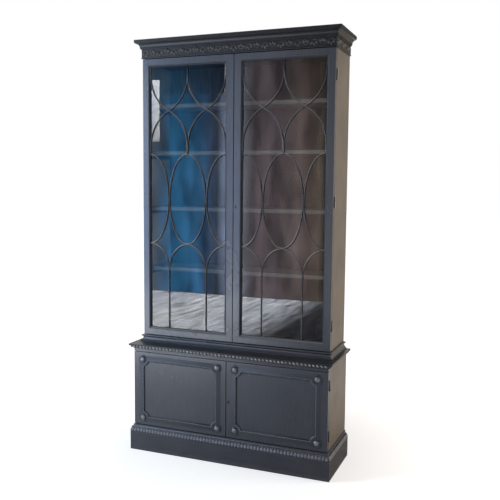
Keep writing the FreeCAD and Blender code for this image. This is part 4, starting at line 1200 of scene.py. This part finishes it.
def soft_light(name, place, aim, width, height, power, colour):
    """A broad light that points at a place."""
    lamp = bpy.data.lights.new(name, "AREA")
    lamp.shape = "RECTANGLE"
    lamp.size = width
    lamp.size_y = height
    lamp.energy = power
    lamp.color = colour
    light = bpy.data.objects.new(name, lamp)
    light.location = place
    light.rotation_euler = (Vector(aim) - Vector(place)).to_track_quat("-Z", "Y").to_euler()
    light.visible_transmission = False
    scene.collection.objects.link(light)


soft_light(
    "cool_left_light", place=(-2.2, -1.5, 1.9), aim=(0, 0, 1.0),
    width=0.8, height=1.1, power=53, colour=COOL,
)
soft_light(
    "warm_right_light", place=(4.0, 1.0, 2.0), aim=(0.5, 0, 1.1),
    width=2.2, height=2.4, power=92, colour=WARM,
)
print("two lights set")

# %% [markdown]
# ## The reflections
# Satin paint and glass show what stands around them. Cards that only gloss can see stand in for the
# room. A picture of a room could be mirrored instead, but bands of colour are easier to place and
# keep the panes calm. Noise streaks the bands, so that they do not look printed. Like the floor, the
# cards are not sampled as lamps.

# %% A card for the reflections
CLUTTER_STRETCH = (56, 7, 1)
CLUTTER_SCALE, CLUTTER_DETAIL = 1, 3
CLUTTER_SPREAD = (0.3, 0.7, 0.4, 1.6)
BLACK = (0, 0, 0, 1)


def banded_colour(tree, across, stops):
    """Colours that change from stop to stop across a card."""
    colours = tree.nodes.new("ShaderNodeValToRGB")
    for share, colour in stops:
        element = colours.color_ramp.elements.new(share)
        element.color = (*colour, 1)
    tree.links.new(across, colours.inputs["Fac"])
    return colours.outputs["Color"]


def show_only_in_gloss(card):
    """Hide a card from all but glossy rays."""
    for ray in ("visible_camera", "visible_diffuse", "visible_shadow", "visible_transmission"):
        setattr(card, ray, False)


def reflection_card(name, place, turn, size, stops, glow):
    """A card whose colour runs along its X and whose strength runs along its Y, seen only in gloss."""
    bpy.ops.mesh.primitive_plane_add(size=1, location=place, rotation=turn)
    card = bpy.context.object
    card.name = name
    card.scale = (size[0], size[1], 1)
    material, tree, shader = blank_material(name)
    shader.inputs["Base Color"].default_value = BLACK
    shader.inputs["Specular IOR Level"].default_value = 0
    place_on_card = tree.nodes.new("ShaderNodeTexCoord")
    split = tree.nodes.new("ShaderNodeSeparateXYZ")
    tree.links.new(place_on_card.outputs["Generated"], split.inputs["Vector"])
    tree.links.new(banded_colour(tree, split.outputs["X"], stops), shader.inputs["Emission Color"])
    streaks = stretched_noise(tree, CLUTTER_STRETCH, CLUTTER_SCALE, CLUTTER_DETAIL)
    clutter = ramp(tree, streaks, *CLUTTER_SPREAD)
    strength = times(tree, ramp(tree, split.outputs["Y"], *glow), clutter)
    tree.links.new(strength, shader.inputs["Emission Strength"])
    material.cycles.emission_sampling = "NONE"
    card.data.materials.append(material)
    show_only_in_gloss(card)
    print(name, "set")


print("cards can be made")

# %% [markdown]
# A wall stands before the bookcase, where the doors mirror it. It is bright on the left, deep blue
# where the left panes show it, brownish pink for the right panes, and dark beyond. A dark lintel
# and a narrow pale window hang just before it.

# %% Wall, lintel and window
FACING_BACK = (math.pi / 2, 0, 0)
WALL_STOPS = [
    (0.01, (0.02, 0.02, 0.03)), (0.2, (0.1, 0.12, 0.2)),
    (0.25, (0.4, 0.5, 0.86)), (0.335, (0.43, 0.54, 0.92)),
    (0.352, (0.06, 0.1, 0.16)), (0.362, (0.05, 0.16, 0.33)), (0.38, (0.04, 0.22, 0.46)),
    (0.405, (0.045, 0.2, 0.43)), (0.418, (0.05, 0.12, 0.25)), (0.43, (0.06, 0.08, 0.13)),
    (0.442, (0.4, 0.5, 0.75)), (0.46, (0.27, 0.29, 0.35)),
    (0.472, (0.15, 0.12, 0.14)), (0.487, (0.24, 0.19, 0.21)), (0.5, (0.13, 0.1, 0.115)),
    (0.518, (0.22, 0.17, 0.165)), (0.535, (0.14, 0.1, 0.09)), (0.545, (0.18, 0.14, 0.11)),
    (0.55, (0.03, 0.03, 0.03)), (0.99, (0.012, 0.011, 0.012)),
]
WALL_GLOW = (0.3, 0.75, 9.7, 1.8)
reflection_card(
    "studio_wall_card", place=(-1.5, -5, 2.5), turn=FACING_BACK, size=(12, 5),
    stops=WALL_STOPS, glow=WALL_GLOW,
)
LINTEL_STOPS = [(0.01, (0.03, 0.13, 0.26)), (0.45, (0.03, 0.1, 0.2)), (0.99, (0.02, 0.03, 0.06))]
LINTEL_GLOW = (0, 0.4, 9.5, 0.7)
reflection_card(
    "dark_lintel_card", place=(-2.77, -4.97, 3.4), turn=FACING_BACK, size=(1.1, 1.6),
    stops=LINTEL_STOPS, glow=LINTEL_GLOW,
)
PALE_STOPS = [(0.01, (0.7, 0.8, 1.0)), (0.99, (0.95, 0.97, 1.0))]
PALE_GLOW = (0, 1, 8, 16)
reflection_card(
    "pale_window_card", place=(-3.22, -4.95, 2.4), turn=FACING_BACK, size=(0.13, 0.8),
    stops=PALE_STOPS, glow=PALE_GLOW,
)

# %% [markdown]
# The lowest panes mirror the floor: a bright patch that ends in shadow on the right. The floor nearer
# the bookcase shows in the mouldings, and a dim ceiling keeps their upper faces from shining.

# %% Floor and ceiling cards
FLAT = (0, 0, 0)
PATCH_STOPS = [
    (0.01, (0.6, 0.68, 0.9)), (0.33, (0.9, 0.94, 1.0)), (0.54, (0.78, 0.83, 0.92)),
    (0.67, (0.05, 0.05, 0.06)), (0.99, (0.02, 0.02, 0.022)),
]
PATCH_GLOW = (0.85, 1, 9.3, 1.5)
reflection_card(
    "studio_floor_card", place=(-1.5, -3.42, 0.004), turn=FLAT, size=(4.2, 3.05),
    stops=PATCH_STOPS, glow=PATCH_GLOW,
)
EVEN_GLOW = (0, 1, 1, 1)
NEAR_STOPS = [
    (0.01, (1.0, 1.0, 1.0)), (0.34, (0.9, 0.92, 1.0)), (0.52, (0.42, 0.43, 0.48)),
    (0.64, (0.24, 0.24, 0.27)), (0.99, (0.16, 0.16, 0.18)),
]
reflection_card(
    "near_floor_card", place=(-0.35, -1.05, 0.005), turn=FLAT, size=(2.5, 1.7),
    stops=NEAR_STOPS, glow=EVEN_GLOW,
)
CEILING_STOPS = [(0.01, (0.1, 0.1, 0.11)), (0.99, (0.08, 0.08, 0.085))]
reflection_card(
    "studio_ceiling_card", place=(0, -0.6, 3.8), turn=FLAT, size=(9, 9),
    stops=CEILING_STOPS, glow=EVEN_GLOW,
)

# %% [markdown]
# The right side mirrors what stands beyond it: a warm wall, darker above, and a brown floor that
# lightens towards the wall.

# %% Cards for the right side
FLAT_TURNED = (0, 0, math.pi / 2)
WARM_STOPS = [(0.01, (0.46, 0.4, 0.33)), (0.99, (0.54, 0.46, 0.38))]
WARM_GLOW = (0.63, 0.69, 1, 0.3)
reflection_card(
    "side_wall_card", place=(1.6, 2.4, 1.9), turn=FACING_BACK, size=(2.4, 3.8),
    stops=WARM_STOPS, glow=WARM_GLOW,
)
SIDE_FLOOR_STOPS = [(0.01, (0.1, 0.08, 0.055)), (0.24, (0.16, 0.13, 0.09)), (0.36, (0.46, 0.4, 0.33))]
reflection_card(
    "side_floor_card", place=(1.312, 1.05, 0.003), turn=FLAT_TURNED, size=(2.7, 1.5),
    stops=SIDE_FLOOR_STOPS, glow=EVEN_GLOW,
)

# %% [markdown]
# ## The camera
# The camera stands where the photograph was taken: to the right of the middle, at the height of a
# hand-held camera, turned back towards the bookcase and tipped slightly down. It could be set by eye,
# but its place, turn and lens were worked out from the straight edges in the photograph, so that the
# two pictures agree.

# %% Place the camera
YAW, PITCH, ROLL = math.radians(21.74), math.radians(-5.45), math.radians(0.51)
CAMERA_PLACE = (1.3998, -3.3578, 1.4494)
SENSOR_WIDTH, LENS = 36, 49.79
forward = Vector((-math.sin(YAW) * math.cos(PITCH), math.cos(YAW) * math.cos(PITCH), math.sin(PITCH)))
right = Vector((math.cos(YAW), math.sin(YAW), 0))
up = right.cross(forward)
rolled_right = right * math.cos(ROLL) + up * math.sin(ROLL)
rolled_up = up * math.cos(ROLL) - right * math.sin(ROLL)
view = bpy.data.cameras.new("photo_camera")
view.sensor_width = SENSOR_WIDTH
view.lens = LENS
camera = bpy.data.objects.new("photo_camera", view)
turn = Matrix((rolled_right, rolled_up, -forward)).transposed().to_4x4()
camera.matrix_world = Matrix.Translation(CAMERA_PLACE) @ turn
scene.collection.objects.link(camera)
scene.camera = camera
scene.view_settings.view_transform = "Standard"
print("camera at", tuple(round(c, 2) for c in camera.location))

# %% [markdown]
# Dressing hardly makes the bookcase bigger: only the beads of the ledge stand slightly past its front.

# %% The dressed bookcase
print("the bookcase is dressed")
